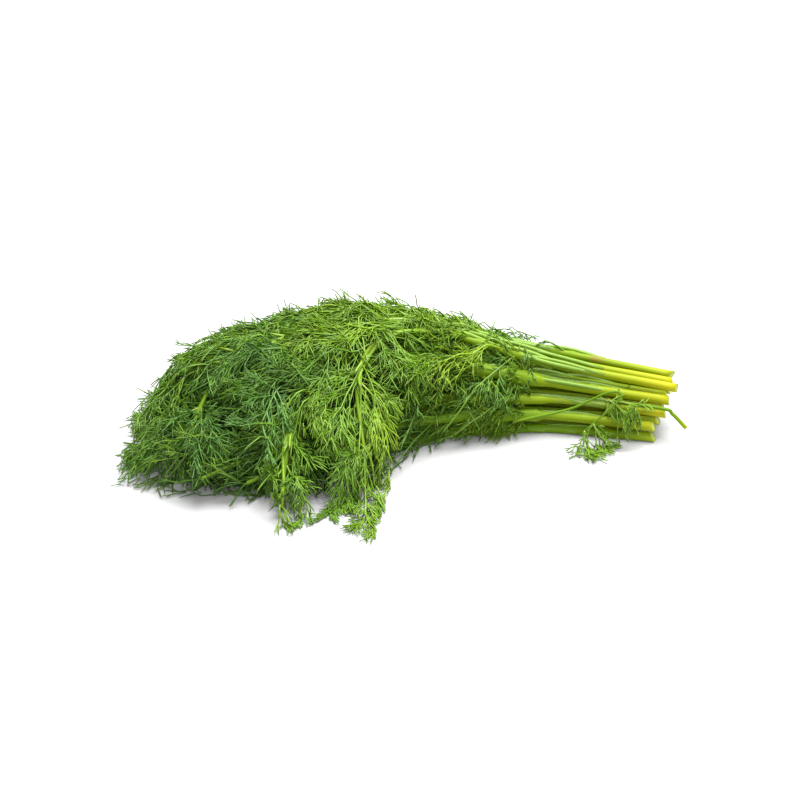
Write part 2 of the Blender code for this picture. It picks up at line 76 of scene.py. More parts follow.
CUT_END_X = 0.1232  # where the lowest stalks are cut
CUT_STEP = 0.0034  # each layer of stalks reaches this much further
CUT_UNEVEN = 0.004  # and each stalk up to this much more
LAYERS = (6, 6, 5, 4, 3)  # stalks side by side in each layer of the bundle, from the table up
PITCH = 0.0060  # from one stalk to the next in a layer
LAYER_RISE = 0.0061  # from one layer to the next
STALK_RADIUS = (0.0018, 0.0025)  # thinnest and thickest stalk, at the cut
STALK_PRESSED = 0.85  # of its radius: how high a stalk's middle lies over the table
STALK_TAPER = 0.64  # share of its radius that a stalk loses by its tip
TAPER_POWER = 1.3
THIN_RADII = (0.0011, 0.0008)  # of the thin stem and of the small leaf's stalk
THIN_TAPER = 0.4
STALK_REACH = 0.88  # share of the bunch's length that a stalk has, and how far that varies
REACH_VARIES = (-0.07, 0.10)
STATIONS = 120  # along a stalk, before it is straightened
STALK_BEND = 0.0011  # how far a stalk may bow away from its straight pieces
SWAY = (0.0004, 0.0004, 0.0006, 0.0007, 0.0011)  # how far the stalks of each layer stray sideways
SWAY_SEED = 36  # fixes that stray
TABLE_BITE = 0.0004  # how far the lowest stalks are pressed flat against the table

# The bunch's spine on the table, from the cut ends to the leaf tips, and what the bundle does at each of
# its five stations: how it spreads to the front and to the back, and how far its layers part in height.
SPINE = mm(((130, 26), (75, 37), (15, 43), (-45, 30), (-105, 2)))
SPREAD_FRONT = (1.0, 1.25, 2.1, 3.6, 4.7)
SPREAD_BACK = (1.0, 1.8, 2.5, 3.0, 3.4)
LIFT = (1.0, 1.30, 1.50, 1.55, 0.90)

# The heap of leaves: stations along X, its crest above each, and where its middle is and how far it reaches
# to the front and to the back there.
HEAP_X, HEAP_TOP, HEAP_MIDDLE, HEAP_FRONT, HEAP_BACK = mm((
    (-148, -138, -126, -116, -100, -60, -20, 20, 60, 100, 150),
    (8, 14, 26, 42, 48, 56, 62, 56, 46, 37, 31),
    (-12, -6, 6, 14, 22, 34, 40, 44, 42, 36, 30),
    (24, 36, 50, 66, 84, 104, 88, 52, 38, 34, 34),
    (14, 22, 34, 52, 60, 64, 64, 56, 46, 36, 32),
))
HEAP_END = 0.010  # over which the heap ends, left of the first station
HEAP_ROUND = (2.2, 0.55)  # powers that round its cross-section

FROND_LENGTH = (0.044, 0.066)
FRONDS_PER_STALK = 3  # besides the one that ends the stalk
FROND_START = (0.46, 0.44, 0.40, 0.30, 0.24)  # share of a stalk of each layer that is bare
RIB_POINTS = 4
RIB_RADIUS = 0.00085
RIB_SUNK = 0.002  # how far a rib stays under the heap's surface
RIB_FLOOR = 0.0016  # and over the table
RIB_LOW = 0.0012  # the same for a rib that is listed
GAP = 0.0004  # least air between two stems
NEAR = 0.006  # only stems this near are measured
TRIES = 60  # ways that are tried for a frond to find that air, and for one that is listed
TRIES_BY_HAND = 80
NUDGE = 0.00007  # how much further a listed rib is nudged at each of them
SHORTER = 0.008  # share by which any other frond gets shorter at each
BEFORE = 0.05  # share of a stalk over which its way is measured
LEAVES = (0.05, 0.7)  # where in its own share of the stalk a frond leaves it
LAST_LEAVES = 0.97  # past this share of the stalk, only the frond that ends it does
TURN = 2.4  # radians from one frond of a stalk to the next
TURN_STRAY = 0.8  # radians by which further tries may turn it, in full from the sixth on
TURN_TRIES = 6
UPWARD = 0.9  # how much up a frond leaves at most, sideways being 1, and how much further down all do
DOWNWARD = 0.1
OPENING = (0.5, 1.0)  # radians between a stalk and its fronds
END_OPENING = (0.10, 0.30)  # and the one that ends it
END_SHARE = 0.75  # of the usual length that one has
DROOP = (0.05, 0.35)  # how much of the way it sags is added to a rib's own way at each point
SAG_WAY = (-0.15, 0.30, -1.0)  # to the leaf end, away from the heap's middle, and down
SAG_OUT = 0.04  # how far from the middle the second of these is whole
SPILL_FROM = 0.97  # how far out in the heap a rib may end
SPILL_COST = 0.02  # the air that a rib has to gain for ending a whole reach of the heap further out


def smooth_path(points, count):
    """A Catmull-Rom curve through the points, as count points at equal distances along it."""
    p = np.asarray(points, float)
    p = np.vstack([2 * p[0] - p[1], p, 2 * p[-1] - p[-2]])
    t = np.linspace(0, 1, 16, endpoint=False)[:, None]
    spans = [
        0.5 * (2 * b + (c - a) * t + (2 * a - 5 * b + 4 * c - d) * t**2 + (3 * b - a - 3 * c + d) * t**3)
        for a, b, c, d in zip(p, p[1:], p[2:], p[3:])
    ]
    dense = np.vstack(spans + [p[-2:-1]])
    return along(dense, np.linspace(0, 1, count))


def run_along(line):
    """How far along a line each of its points lies."""
    return np.concatenate([[0], np.cumsum(np.linalg.norm(np.diff(line, axis=0), axis=1))])


def along(line, shares):
    """The points at these shares of a line's length."""
    run = run_along(line)
    at = np.asarray(shares) * run[-1]
    return np.stack([np.interp(at, run, line[:, k]) for k in range(3)], axis=-1)


def straightened(line, bow):
    """The few points that keep a line within bow of its shape, as their numbers in the line."""
    chord, off = line[-1] - line[0], line - line[0]
    share = np.clip(off @ chord / (chord @ chord), 0, 1)
    away = np.linalg.norm(off - share[:, None] * chord, axis=1)
    far = int(away.argmax())
    if away[far] <= bow:
        return [0, len(line) - 1]
    return straightened(line[: far + 1], bow)[:-1] + [far + i for i in straightened(line[far:], bow)]


def unit(v):
    """Vectors made one long, along the last axis."""
    return v / np.maximum(np.linalg.norm(v, axis=-1, keepdims=True), 1e-12)


def behind_middle(x, y):
    """How far behind the heap's middle a point of the table lies."""
    return y - np.interp(x, HEAP_X, HEAP_MIDDLE)


def heap_across(x, y):
    """How far out a point of the table lies in the heap: 0 at its middle, 1 at its edge."""
    behind = behind_middle(x, y)
    reach = np.where(behind < 0, np.interp(x, HEAP_X, HEAP_FRONT), np.interp(x, HEAP_X, HEAP_BACK))
    return np.maximum(np.abs(behind) / reach, (HEAP_X[0] - x) / HEAP_END)


def heap_top(x, y, sunk=0.0, lumps=0.0):
    """Height of the heap over the table, 0 outside it: (crest - sunk) (1 + lumps) (1 - across^a)^b."""
    crest = np.interp(x, HEAP_X, HEAP_TOP)
    inner = np.maximum(0, 1 - heap_across(x, y) ** HEAP_ROUND[0])
    return (crest - sunk) * (1 + lumps) * inner ** HEAP_ROUND[1]


# ---------------- the growth plan
# Stalks that end where they show: two drape over the front of the heap, one bends down at its left.
SHOWN_ENDINGS = {
    (4, 0): mm(((22, 38, 48), (-10, 20, 53), (-21.5, 0, 42.5), (-19, -24, 26.5), (-18, -32, 21))),
    (3, 0): mm(((10, 26, 39), (-30, 6, 40), (-52, -22, 28), (-56.5, -42, 14), (-57, -61, 6))),
    (4, 1): mm(((15, 45, 49), (-45, 34, 50), (-86, 20, 40), (-100, 2, 27.5), (-107, -14, 15))),
}
# A thin piece of stalk that slips out of the front of the bundle at the cut, and a small leaf against it.
THIN_STEM = mm(((145.5, 8.5, 8.5), (136.2, 11.5, 16.8), (125, 12.8, 19.2), (112, 15, 20), (98, 17.8, 20.6)))
STRAY_LEAF = mm((
    (57.5, 12.5, 10), (84.5, 13, 16.6), (104, 11.8, 27.2), (111.5, 8, 28), (103, 6, 18), (93.5, 6, 8.5),
))
LEAF = 26  # the small leaf's number: the leafy stems have 1 to 24, and the thin one 25
# Fronds listed one by one where they show: the number of the stem that bears each, the share of it where it
# leaves, the rib's line after that, how many times the usual length its threads have, its form, and its
# tint, from 0 for blue-green to 0.8 for yellow-green.
SHOWN_FRONDS = (
    # the two joints of the stalk that drapes over the front, the second at its end
    (22, 0.83, ((-13, -11, 37), (-7, -26, 23.5), (-5, -40, 13)), 1, "broom", 0.66),
    (22, 0.83, ((-32, -4, 44), (-40, -13, 39), (-40, -29, 29)), 0.8, "plume", 0.50),
    (22, 1.00, ((-11, -45, 15), (-7, -57, 7)), 0.8, "plume", 0.46),
    (22, 1.00, ((-25, -44, 16), (-33, -58, 7)), 0.8, "broom", 0.42),
    (22, 1.00, ((-17, -54, 10), (-16, -67, 4), (-11, -76, 2.2)), 0.8, "plume", 0.56),
    # the same on the stalk left of it
    (18, 0.84, ((-66, -34, 24), (-76, -44, 18)), 0.8, "plume", 0.42),
    (18, 0.90, ((-50, -53, 12), (-46, -64, 6)), 0.7, "tuft", 0.44),
    (18, 0.90, ((-63, -53, 12), (-69, -62, 6)), 0.7, "tuft", 0.44),
    (18, 1.00, ((-58, -69, 4.5), (-60, -77, 2.5)), 0.7, "tuft", 0.58),
    # left of it, over the place of the star-shaped one, and out to the left end of the heap
    (18, 0.66, ((-50, 4, 40), (-62, -8, 37), (-66, -18, 33)), 1.2, "feather", 0.16),
    (23, 0.93, ((-118, -6, 18), (-134, -14, 8)), 0.9, "feather", 0.34),
    (23, 0.93, ((-98, -20, 26), (-96, -36, 19)), 1, "feather", 0.22),
    (23, 1.00, ((-114, -24, 9), (-121, -34, 4)), 0.9, "feather", 0.34),
    (23, 0.98, ((-119, -16, 11), (-131, -24, 4.5)), 0.9, "wisp", 0.34),
    # an open fan on the table in front of them
    (23, 1.00, ((-104, -26, 12), (-101, -46, 3)), 0.8, "fan", 0.36),
    # over the crest and down to the right
    (23, 0.63, ((-24, 28, 62), (-9, 20, 57), (6, 8, 45), (13, -2, 32)), 1.2, "plume", 0.48),
    # the back of the heap, out to its left end
    (24, 1.00, ((-102, 24, 35), (-116, 16, 33)), 0.9, "feather", 0.42),
    (24, 0.96, ((-108, 14, 30), (-128, 2, 17)), 0.8, "feather", 0.36),
    (24, 0.74, ((-60, 46, 50), (-90, 44, 42)), 1, "feather", 0.46),
    (24, 0.90, ((-88, 44, 40), (-110, 34, 38)), 0.9, "feather", 0.46),
    (21, 0.92, ((-80, 56, 30), (-104, 48, 24)), 0.9, "feather", 0.36),
    (23, 0.72, ((-86, 34, 48), (-102, 32, 44), (-117, 24, 38)), 0.9, "feather", 0.46),
    # along the front of the bundle, right of the heap
    (22, 0.36, ((38, 12, 30), (29, 3, 21), (19, -3, 10)), 0.8, "tuft", 0.34),
    (18, 0.29, ((46, 11, 19), (34, 4, 13.5), (25, 1, 7)), 0.7, "tuft", 0.38),
    # a thin one hanging over the top stalks, and wisps along the back of the bundle
    (24, 0.22, ((61, 47, 44.5), (62.5, 36, 43), (65.5, 26, 33)), 0.45, "wisp", 0.24),
    (24, 0.28, ((48, 56, 39), (34, 60, 39)), 0.6, "wisp", 0.50),
    (21, 0.26, ((56, 58, 33), (44, 63, 33)), 0.6, "wisp", 0.45),
    # the small leaf
    (LEAF, 1.00, ((93, 0, 4), (96, -5, 2)), 0.5, "leaflet", 0.52),
    (LEAF, 0.93, ((100, 3, 9), (106, 1, 4)), 0.45, "leaflet", 0.54),
    (LEAF, 0.55, ((115, 7.5, 25), (121, 7.5, 22)), 0.5, "leaflet", 0.56),
    (LEAF, 0.60, ((112, 5, 22), (114, 5, 16)), 0.45, "leaflet", 0.52),
)
Stalk = namedtuple("Stalk", "name layer path radii")


@dataclass
class Frond:
    """One frond: the index of its stalk, the share of it where it leaves, its rib's line, and its looks."""

    stem: int
    share: float
    line: np.ndarray
    size: float = 1.0
    form: str = "feather"
    tint: float = 0.0
    shown: bool = False
    petiole: np.ndarray = None


def simple_stalk(name, layer, path, radii):
    """A stalk whose path keeps only the few points between which it is nearly straight."""
    kept = straightened(path, STALK_BEND)
    return Stalk(name, layer, path[kept], radii[kept])


def plan_stalks(rng):
    """Every stalk's centreline and radii: a heap of parallel stalks at the cut that fans out in layers."""
    stray = np.random.default_rng(SWAY_SEED)
    stalks = []
    for layer, count in enumerate(LAYERS):
        for column in range(count):
            across = (column - (count - 1) / 2) * PITCH
            radius = rng.uniform(*STALK_RADIUS)
            spread = SPREAD_FRONT if across < 0 else SPREAD_BACK
            line = [
                (x, y + across * spread[j], radius * STALK_PRESSED + layer * LAYER_RISE * LIFT[j])
                for j, (x, y) in enumerate(SPINE)
            ]
            line[0] = (CUT_END_X + layer * CUT_STEP + rng.uniform(0, CUT_UNEVEN), *line[0][1:])
            line = [(x, y + stray.uniform(-1, 1) * SWAY[layer], z) for x, y, z in line]
            reach = STALK_REACH + rng.uniform(*REACH_VARIES)
            if (layer, column) in SHOWN_ENDINGS:
                line = line[:2] + list(SHOWN_ENDINGS[layer, column])
                reach = 1.0
            path = smooth_path(line, STATIONS + 1)[: int(STATIONS * reach) + 1]
            radii = radius * (1 - STALK_TAPER * np.linspace(0, 1, len(path)) ** TAPER_POWER)
            if layer == 0:  # the lowest layer lies on the table all the way
                path[:, 2] = radii - TABLE_BITE
            stalks.append(simple_stalk(f"stem_{len(stalks) + 1:02d}", layer, path, radii))
    for name, line, radius in zip(("thin_stem", "stray_leaf"), (THIN_STEM, STRAY_LEAF), THIN_RADII):
        path = smooth_path(line, STATIONS + 1)
        radii = radius * (1 - THIN_TAPER * np.linspace(0, 1, len(path)))
        stalks.append(simple_stalk(name, -1, path, radii))
    return stalks


def nearest(a0, a1, b0, b1):
    """Least distance between each segment a0-a1 and each segment b0-b1, as a matrix."""
    d1, d2 = (a1 - a0)[:, None], (b1 - b0)[None]
    r = a0[:, None] - b0[None]
    a, e = (d1 * d1).sum(-1), (d2 * d2).sum(-1)
    b, c, f = (d1 * d2).sum(-1), (d1 * r).sum(-1), (d2 * r).sum(-1)
    s = np.clip((b * f - c * e) / np.maximum(a * e - b * b, 1e-18), 0, 1)
    t = np.clip((b * s + f) / np.maximum(e, 1e-18), 0, 1)
    s = np.clip((b * t - c) / np.maximum(a, 1e-18), 0, 1)
    return np.linalg.norm(r + d1 * s[..., None] - d2 * t[..., None], axis=-1)


class Room:
    """The space that is taken: capsules, each with the number of the stem that it belongs to."""

    def __init__(self):
        self.start = self.end = np.zeros((0, 3))
        self.radius = np.zeros(0)
        self.owner = np.zeros(0, int)

    def take(self, line, radii, owner):
        self.start = np.vstack([self.start, line[:-1]])
        self.end = np.vstack([self.end, line[1:]])
        self.radius = np.concatenate([self.radius, np.broadcast_to(radii, len(line) - 1)])
        self.owner = np.concatenate([self.owner, np.full(len(line) - 1, owner)])

    def air(self, line, radius, owner):
        """Least air between a new piece of a stem and every other stem."""
        low, high = line.min(0) - NEAR, line.max(0) + NEAR
        near = (np.minimum(self.start, self.end) < high).all(1)
        near &= (np.maximum(self.start, self.end) > low).all(1)
        near &= self.owner != owner
        if not near.any():
            return 1.0
        apart = nearest(line[:-1], line[1:], self.start[near], self.end[near])
        return float((apart - self.radius[near] - radius).min())


def frond_line(base, heading, length, droop):
    """A rib that starts along heading, sinks under its weight and keeps below the heap's surface."""
    line, step = [np.asarray(base, float)], length / (RIB_POINTS - 1)
    d = unit(np.asarray(heading, float))
    for _ in range(RIB_POINTS - 1):
        x, y, _ = line[-1]
        outward = np.clip(behind_middle(x, y) / SAG_OUT, -1, 1)
        d = unit(d + droop * (np.array(SAG_WAY) * (1, outward, 1)))
        p = line[-1] + step * d
        p[2] = min(p[2], heap_top(p[0], p[1]) - RIB_SUNK)
        p = line[-1] + step * unit(p - line[-1])
        p[2] = max(p[2], RIB_FLOOR)
        line.append(p)
        d = unit(line[-1] - line[-2])
    return np.array(line)


def leaving(path, share):
    """The point at a share of a stalk, and the way the stalk runs there."""
    base = along(path, share)
    return base, unit(base - along(path, share - BEFORE))


def plan_fronds(stalks, rng):
    """Where each stalk's fronds leave it, and the line of each rib, clear of every other stem."""
    room = Room()
    for owner, stalk in enumerate(stalks):
        room.take(stalk.path, stalk.radii[:-1], owner)
    fronds = []  # the shown ones first, in the order of their list
    for bearer, share, rest, size, form, tint in SHOWN_FRONDS:
        owner = bearer - 1
        for attempt in range(TRIES_BY_HAND):
            nudged = mm(rest) + rng.normal(0, NUDGE * attempt, (len(rest), 3))
            line = smooth_path(np.vstack([along(stalks[owner].path, share), nudged]), RIB_POINTS + 1)
            line[:, 2] = np.maximum(line[:, 2], RIB_LOW)
            if room.air(line, RIB_RADIUS, owner) > GAP:
                break
        room.take(line, RIB_RADIUS, owner)
        fronds.append(Frond(owner, share, line, size, form, tint, shown=True))
    for owner, stalk in enumerate(stalks[:-2]):
        turn = rng.uniform(0, 2 * math.pi)
        start = FROND_START[stalk.layer]
        shown = [row[1] for row in SHOWN_FRONDS if row[0] == owner + 1]
        count = FRONDS_PER_STALK - (len(shown) > 3)
        for k in range(count + (1.0 not in shown)):
            last = k == count
            share = 1.0 if last else start + (LAST_LEAVES - start) * (k + rng.uniform(*LEAVES)) / count
            base, tangent = leaving(stalk.path, share)
            side = unit(np.cross(tangent, (0, 0, 1.0)))
            over = np.cross(side, tangent)
            best = None
            for attempt in range(TRIES):
                angle = turn + k * TURN + rng.uniform(-TURN_STRAY, TURN_STRAY) * min(1, attempt / TURN_TRIES)
                opening = rng.uniform(*END_OPENING) if last else rng.uniform(*OPENING)
                out = math.cos(angle) * side + (abs(math.sin(angle)) * UPWARD - DOWNWARD) * over
                heading = math.cos(opening) * tangent + math.sin(opening) * out
                length = rng.uniform(*FROND_LENGTH) * (END_SHARE if last else 1.0) * (1 - SHORTER * attempt)
                line = frond_line(base, heading, length, rng.uniform(*DROOP))
                air = room.air(line, RIB_RADIUS, owner)
                spill = max(0.0, heap_across(line[-1][0], line[-1][1]) - SPILL_FROM)
                worth = min(air, GAP * 2) - spill * SPILL_COST
                if best is None or worth > best[0]:
                    best = (worth, line, air)
                if air > GAP and spill == 0:
                    break
            if best[2] <= GAP:
                continue
            room.take(best[1], RIB_RADIUS, owner)
            fronds.append(Frond(owner, share, best[1]))
    return fronds


# ---------------- how a frond is built
SHIFT = np.array([*BUNCH_MIDDLE, 0.0])  # from the plan to the frame, whose origin is under the middle
SLOPE_STEP = 0.002  # over which the heap's slope is measured

# One order of branching: pairs of branches on a bearer, the shares of it between which they leave, their
# length in millimetres at its foot and at its tip, how wide they open there, how wildly they leave the
# frond's plane, how far they bend forward and sag, how much they curl, the points along each, and their
# radii, foot and tip.
Order = namedtuple("Order", "pairs start stop length open wild forward sag curl points radii")

ROOT_STRAY = 0.3  # share of the step between two pairs by which their roots stray
OPEN_VARIES = (0.6, 1.4)  # how far the openings, lengths and sags of branches vary, as shares of their mean
LENGTH_VARIES = (0.7, 1.3)
SAG_VARIES = (0.2, 1.8)
FACING_STRAY = 0.35  # how far a branch's facing strays from its bearer's
TINT_STRAY = 0.03  # and its tint
TINT_MOST = 0.85
ROOT_RANGE = (0.02, 0.99)  # the shares of its bearer between which a branch leaves at all
RACHIS_SIDES = 5
PETIOLE_SIDES = 6
THREAD_SIDES = 3  # also of pinnae and sprigs
FREE_FALL = 0.3  # the little straight down that is added to the way threads hang on the heap

PINNA_RADII = (0.00042, 0.00027)
SPRIG_RADII = (0.00037, 0.00028)
THREAD_RADII = (0.00035, 0.00024)
RACHIS_RADII = (0.00058, 0.00032)

FORMS = {
    "feather": (
        Order(7, 0.08, 0.95, (20, 10), (1.00, 0.65), 0.60, 0.18, 0.26, 0.16, 6, PINNA_RADII),
        Order(4, 0.16, 0.93, (10.8, 7.8), (0.80, 0.60), 0.75, 0.12, 0.24, 0.18, 5, SPRIG_RADII),
        Order(1, 0.32, 0.68, (6.8, 5.6), (0.68, 0.55), 0.90, 0.10, 0.20, 0.20, 4, THREAD_RADII),
    ),
    "plume": (
        Order(9, 0.04, 0.96, (16.5, 8), (0.72, 0.50), 0.40, 0.20, 0.24, 0.08, 6, PINNA_RADII),
        Order(5, 0.12, 0.94, (9, 6.4), (0.56, 0.44), 0.45, 0.18, 0.22, 0.09, 5, SPRIG_RADII),
        Order(1, 0.32, 0.70, (6.4, 5.2), (0.50, 0.40), 0.55, 0.15, 0.18, 0.10, 4, THREAD_RADII),
    ),
    "broom": (
        Order(13, 0.03, 0.97, (12.5, 7), (0.66, 0.46), 0.30, 0.22, 0.26, 0.05, 6, PINNA_RADII),
        Order(5, 0.12, 0.94, (7, 5.4), (0.50, 0.40), 0.40, 0.18, 0.22, 0.07, 5, SPRIG_RADII),
        Order(1, 0.30, 0.70, (5.4, 4.6), (0.45, 0.36), 0.50, 0.15, 0.18, 0.08, 4, THREAD_RADII),
    ),
    "star": (
        Order(5, 0.50, 0.98, (16.5, 12.5), (1.90, 0.70), 0.12, 0.04, 0.03, 0.04, 6, RACHIS_RADII),
        Order(4, 0.28, 0.90, (8, 6.4), (0.66, 0.52), 0.22, 0.04, 0.04, 0.06, 4, PINNA_RADII),
        Order(1, 0.40, 0.65, (4.8, 4.2), (0.50, 0.42), 0.40, 0.06, 0.05, 0.10, 4, PINNA_RADII),
    ),
    "tuft": (
        Order(8, 0.06, 0.95, (12, 7), (0.85, 0.52), 0.60, 0.30, 0.24, 0.12, 5, PINNA_RADII),
        Order(4, 0.16, 0.92, (7, 5.4), (0.62, 0.48), 0.70, 0.25, 0.24, 0.15, 4, SPRIG_RADII),
        Order(1, 0.32, 0.70, (5.2, 4.4), (0.55, 0.45), 0.90, 0.20, 0.22, 0.18, 4, THREAD_RADII),
    ),
    "leaflet": (
        Order(5, 0.05, 0.85, (15, 10.5), (0.85, 0.60), 0.60, 0.25, 0.25, 0.22, 5, SPRIG_RADII),
        Order(3, 0.20, 0.90, (9, 7.2), (0.70, 0.50), 0.70, 0.20, 0.25, 0.24, 4, THREAD_RADII),
        Order(1, 0.40, 0.65, (6.4, 5.2), (0.60, 0.45), 0.90, 0.15, 0.25, 0.28, 4, THREAD_RADII),
    ),
    "wisp": (
        Order(5, 0.20, 0.92, (12, 8), (0.70, 0.50), 0.40, 0.20, 0.20, 0.12, 5, SPRIG_RADII),
        Order(2, 0.35, 0.88, (8, 6.2), (0.55, 0.42), 0.60, 0.15, 0.20, 0.14, 5, THREAD_RADII),
        Order(1, 0.45, 0.60, (5.6, 5), (0.50, 0.40), 0.80, 0.15, 0.20, 0.16, 4, THREAD_RADII),
    ),
    "fan": (
        Order(5, 0.02, 0.60, (28, 19), (0.70, 0.40), 0.40, 0.10, 0.25, 0.10, 6, SPRIG_RADII),
        Order(2, 0.35, 0.80, (13, 10), (0.45, 0.35), 0.50, 0.10, 0.25, 0.12, 5, SPRIG_RADII),
        Order(1, 0.40, 0.60, (8, 6), (0.40, 0.35), 0.60, 0.10, 0.20, 0.14, 4, THREAD_RADII),
    ),
}
# More listed fronds, in the same columns, that the solids don't have.
EXTRA_FRONDS = (
    # the star-shaped one, left of the two stalks that drape over the front
    (18, 0.66, ((-57, -7, 42.5), (-61.5, -15, 42.5), (-65.5, -24.5, 40), (-67.5, -33, 36)), 1, "star", 0.03),
    # the pale fan on the crest
    (24, 0.58, ((-20, 36, 60), (-19, 18, 59), (-16, 2, 52)), 1, "fan", 0.62),
    # strays that lie on the table in front of the left end
    (23, 1.00, ((-113, -20, 9), (-112, -30, 3)), 0.7, "fan", 0.30),
    (23, 1.00, ((-98, -30, 10), (-94, -44, 3)), 0.9, "fan", 0.34),
    (23, 1.00, ((-94, -26, 12), (-82, -40, 4)), 0.8, "fan", 0.36),
    (18, 0.80, ((-64, -30, 17), (-72, -46, 5)), 0.8, "fan", 0.36),
)
# More fronds that lie on the stalks and hide them: the stems that bear them, how many each bears, between
# which shares of it, and how far to its back and up each leaves; then each one's form and length.
TOP_STEMS = tuple(range(17, 24))
FRONT_STEMS = (0, 6, 12, 17)
Cover = namedtuple("Cover", "stems each start stop back up droop form length")
COVERS = (
    Cover(TOP_STEMS, 3, 0.44, 0.92, (-1.0, 1.0), 0.9, (0.00, 0.12), "feather", (44, 62)),
    Cover(TOP_STEMS, 3, 0.44, 0.92, (-1.0, 1.0), 0.9, (0.00, 0.12), "plume", (44, 62)),
    Cover(TOP_STEMS, 2, 0.30, 0.46, (-1.0, 1.0), 0.6, (0.00, 0.12), "wisp", (30, 44)),
    Cover(FRONT_STEMS, 8, 0.25, 0.60, (-1.0, -0.4), 0.4, (0.00, 0.12), "tuft", (26, 40)),
    Cover(FRONT_STEMS[2:], 7, 0.27, 0.50, (-1.0, -0.9), 0.5, (0.25, 0.50), "feather", (28, 40)),
    Cover(FRONT_STEMS, 3, 0.72, 1.00, (-1.0, -0.2), 0.3, (0.05, 0.30), "feather", (30, 45)),
    Cover(FRONT_STEMS[1:], 10, 0.26, 0.56, (-1.0, -0.8), 0.1, (0.40, 0.80), "plume", (18, 30)),
    Cover(FRONT_STEMS[1:], 6, 0.26, 0.38, (-1.0, -0.5), 0.5, (0.10, 0.40), "tuft", (20, 30)),
)
COVER_TRIES = 20  # ways that are tried for each, to keep clear of what shows
COVER_OPENING = (0.3, 0.9)  # radians between a stalk and its covers
TINT = 0.38  # tints of the fronds inside the heap and of those that cover it, in the mean, and their spread
COVER_TINT = 0.42
TINT_SPREAD = 0.10
TINT_RANGE = (0.05, 0.70)
COVER_TINT_RANGE = (0.05, 0.75)
COVER_WARMER = ((-0.030, 0.020), (0.0, 0.16))  # stations along X, and how much yellower covers are there
RIB_STATIONS = 15
PETIOLE_STATIONS = 12
PETIOLE_RADII = (0.0013, 0.0007)
PETIOLE_TINT = 0.60
PETIOLE_CLEAR = 0.0012  # how far beside its stalk a cover's petiole runs, from the skin to its own middle
PLAIN_RIB = 0.35  # the order that ribs and petioles take for their colour, 0 being the palest
PETIOLE_RUN = 0.22  # share of its stalk along which a cover's petiole runs before it leaves
# Where the leaves end on the table at the front: stations along X, the edge of the dense ones, and how much
# further strays may lie.
EDGE_X, EDGE_Y, STRAY = mm((
    (-150, -135, -115, -85, -66, -40, -20, -6, 4, 20, 60, 120),
    (-8, -24, -33, -34, -36, -46, -46, -30, -10, 0, 6, 8),
    (6, 18, 26, 28, 20, 16, 12, 10, 8, 8, 6, 2),
))
# The same for the listed fronds, of which two drape far over the front.
FAR_X, FAR_Y = mm((
    (-150, -130, -115, -105, -95, -85, -75, -66, -55, -45, -35, -26, -16, -10, -4, 4, 15, 25, 60, 120),
    (-30, -34, -34, -45, -56, -44, -37, -55, -80, -70, -60, -80, -86, -70, -34, -8, 2, 6, 8, -30),
))
BACK_EDGE = 0.103  # where the leaves end at the back, at the left and at the top
LEFT_EDGE = -0.1415
TOP_EDGE = 0.0645
END_STRAY = 0.006  # how far strays pass the first two, and what is listed the front edge
PROUD = (0.0012, 0.0080)  # how far ribs and pinnae stand out of the heap's surface, least and most
REACH_OUT = 0.0034  # how far sprigs and threads stand out of it, in the mean
FREE_X = -0.088  # left of this, pinnae aren't pressed in but point out
FREE_REACH = 0.0060  # how far they stand out there, in the mean
SHADED = (0.002, 0.014)  # painted shade: how far under the heap's surface the leaves start to darken, and are darkest
SHADED_X = (-0.120, -0.080, -0.020, 0.020)  # stations along X, and the share of that painted shade at each
SHADED_PART = (0.65, 1.0, 1.0, 0.3)
FACING_OUT = 0.06  # how far from the heap's middle a frond faces as much outwards as up
DEEP = 0.015  # threads further than this under the heap's surface are thinned out, to the share DEEP_KEPT
DEEP_KEPT = 0.4
RAISED = 0.009  # how far at most a listed rib is raised, to lie on the heap
RAISED_POWER = 0.5  # of the share of the rib's length: how soon it is raised so far
# Where the leaves are parted and a stalk shows: the two ends of each stretch, and how far from it they part.
PARTED = (
    (mm((-22.5, 6, 47)), mm((-19.5, -20, 30)), 0.0024),
    (mm((-19.5, -24, 27)), mm((-18.5, -30, 22.5)), 0.0018),
    (mm((-54.5, -30, 22)), mm((-56.6, -44, 13)), 0.0022),
    (mm((-99.5, 3, 28)), mm((-103.5, -6, 21.5)), 0.0022),
)
DENT = 0.010  # how wide the heap sinks on either side of such a stretch
DENT_UNDER = 0.0015  # and how far under the stalk's middle
STAR = (mm((-61.5, -14, 41)), mm((-67.5, -32, 34.5)), 0.0145)  # the same for the star-shaped frond
# Where covers don't lie: from and to along X, and how far back.
KEPT_CLEAR = mm(((-42, -8, 12), (-68, -46, -12), (-114, -94, 14), (-82, -50, -4)))
OUTWARD = (0.0, -0.80, 0.60)  # the way the front of the heap faces
COVER_SLACK = 0.0005  # a line this far behind a stretch still covers it
LUMPS = 0.18  # share of its height by which the heap's surface rises and falls
LUMP_WAVES = ((190, 110, 1.0), (-120, 210, 2.6), (260, -90, 4.4))  # about 30 mm long
PROUD_WAVES = ((310, -240, 0.7), (170, 330, 3.9), (-280, 90, 1.9))  # about 20 mm long
SUNK = 0.0055  # how far the heap's surface lies under the heap's own outline
SUNK_ON_STALKS = (-0.003, 0.007)  # how much further at the front and at the back of the bundle
BUNDLE_FROM = (-0.020, 0.020)  # where along X the heap gives way to the bundle; also from front to back of it
FLOOR_AIR = (0.0007, 0.0016)  # how high threads lie that meet the table


def waves(x, y, rows):
    """Plane waves that cross each other: the sum of sin(a x + b y + c) over the rows (a, b, c)."""
    return sum(np.sin(a * x + b * y + c) for a, b, c in rows)


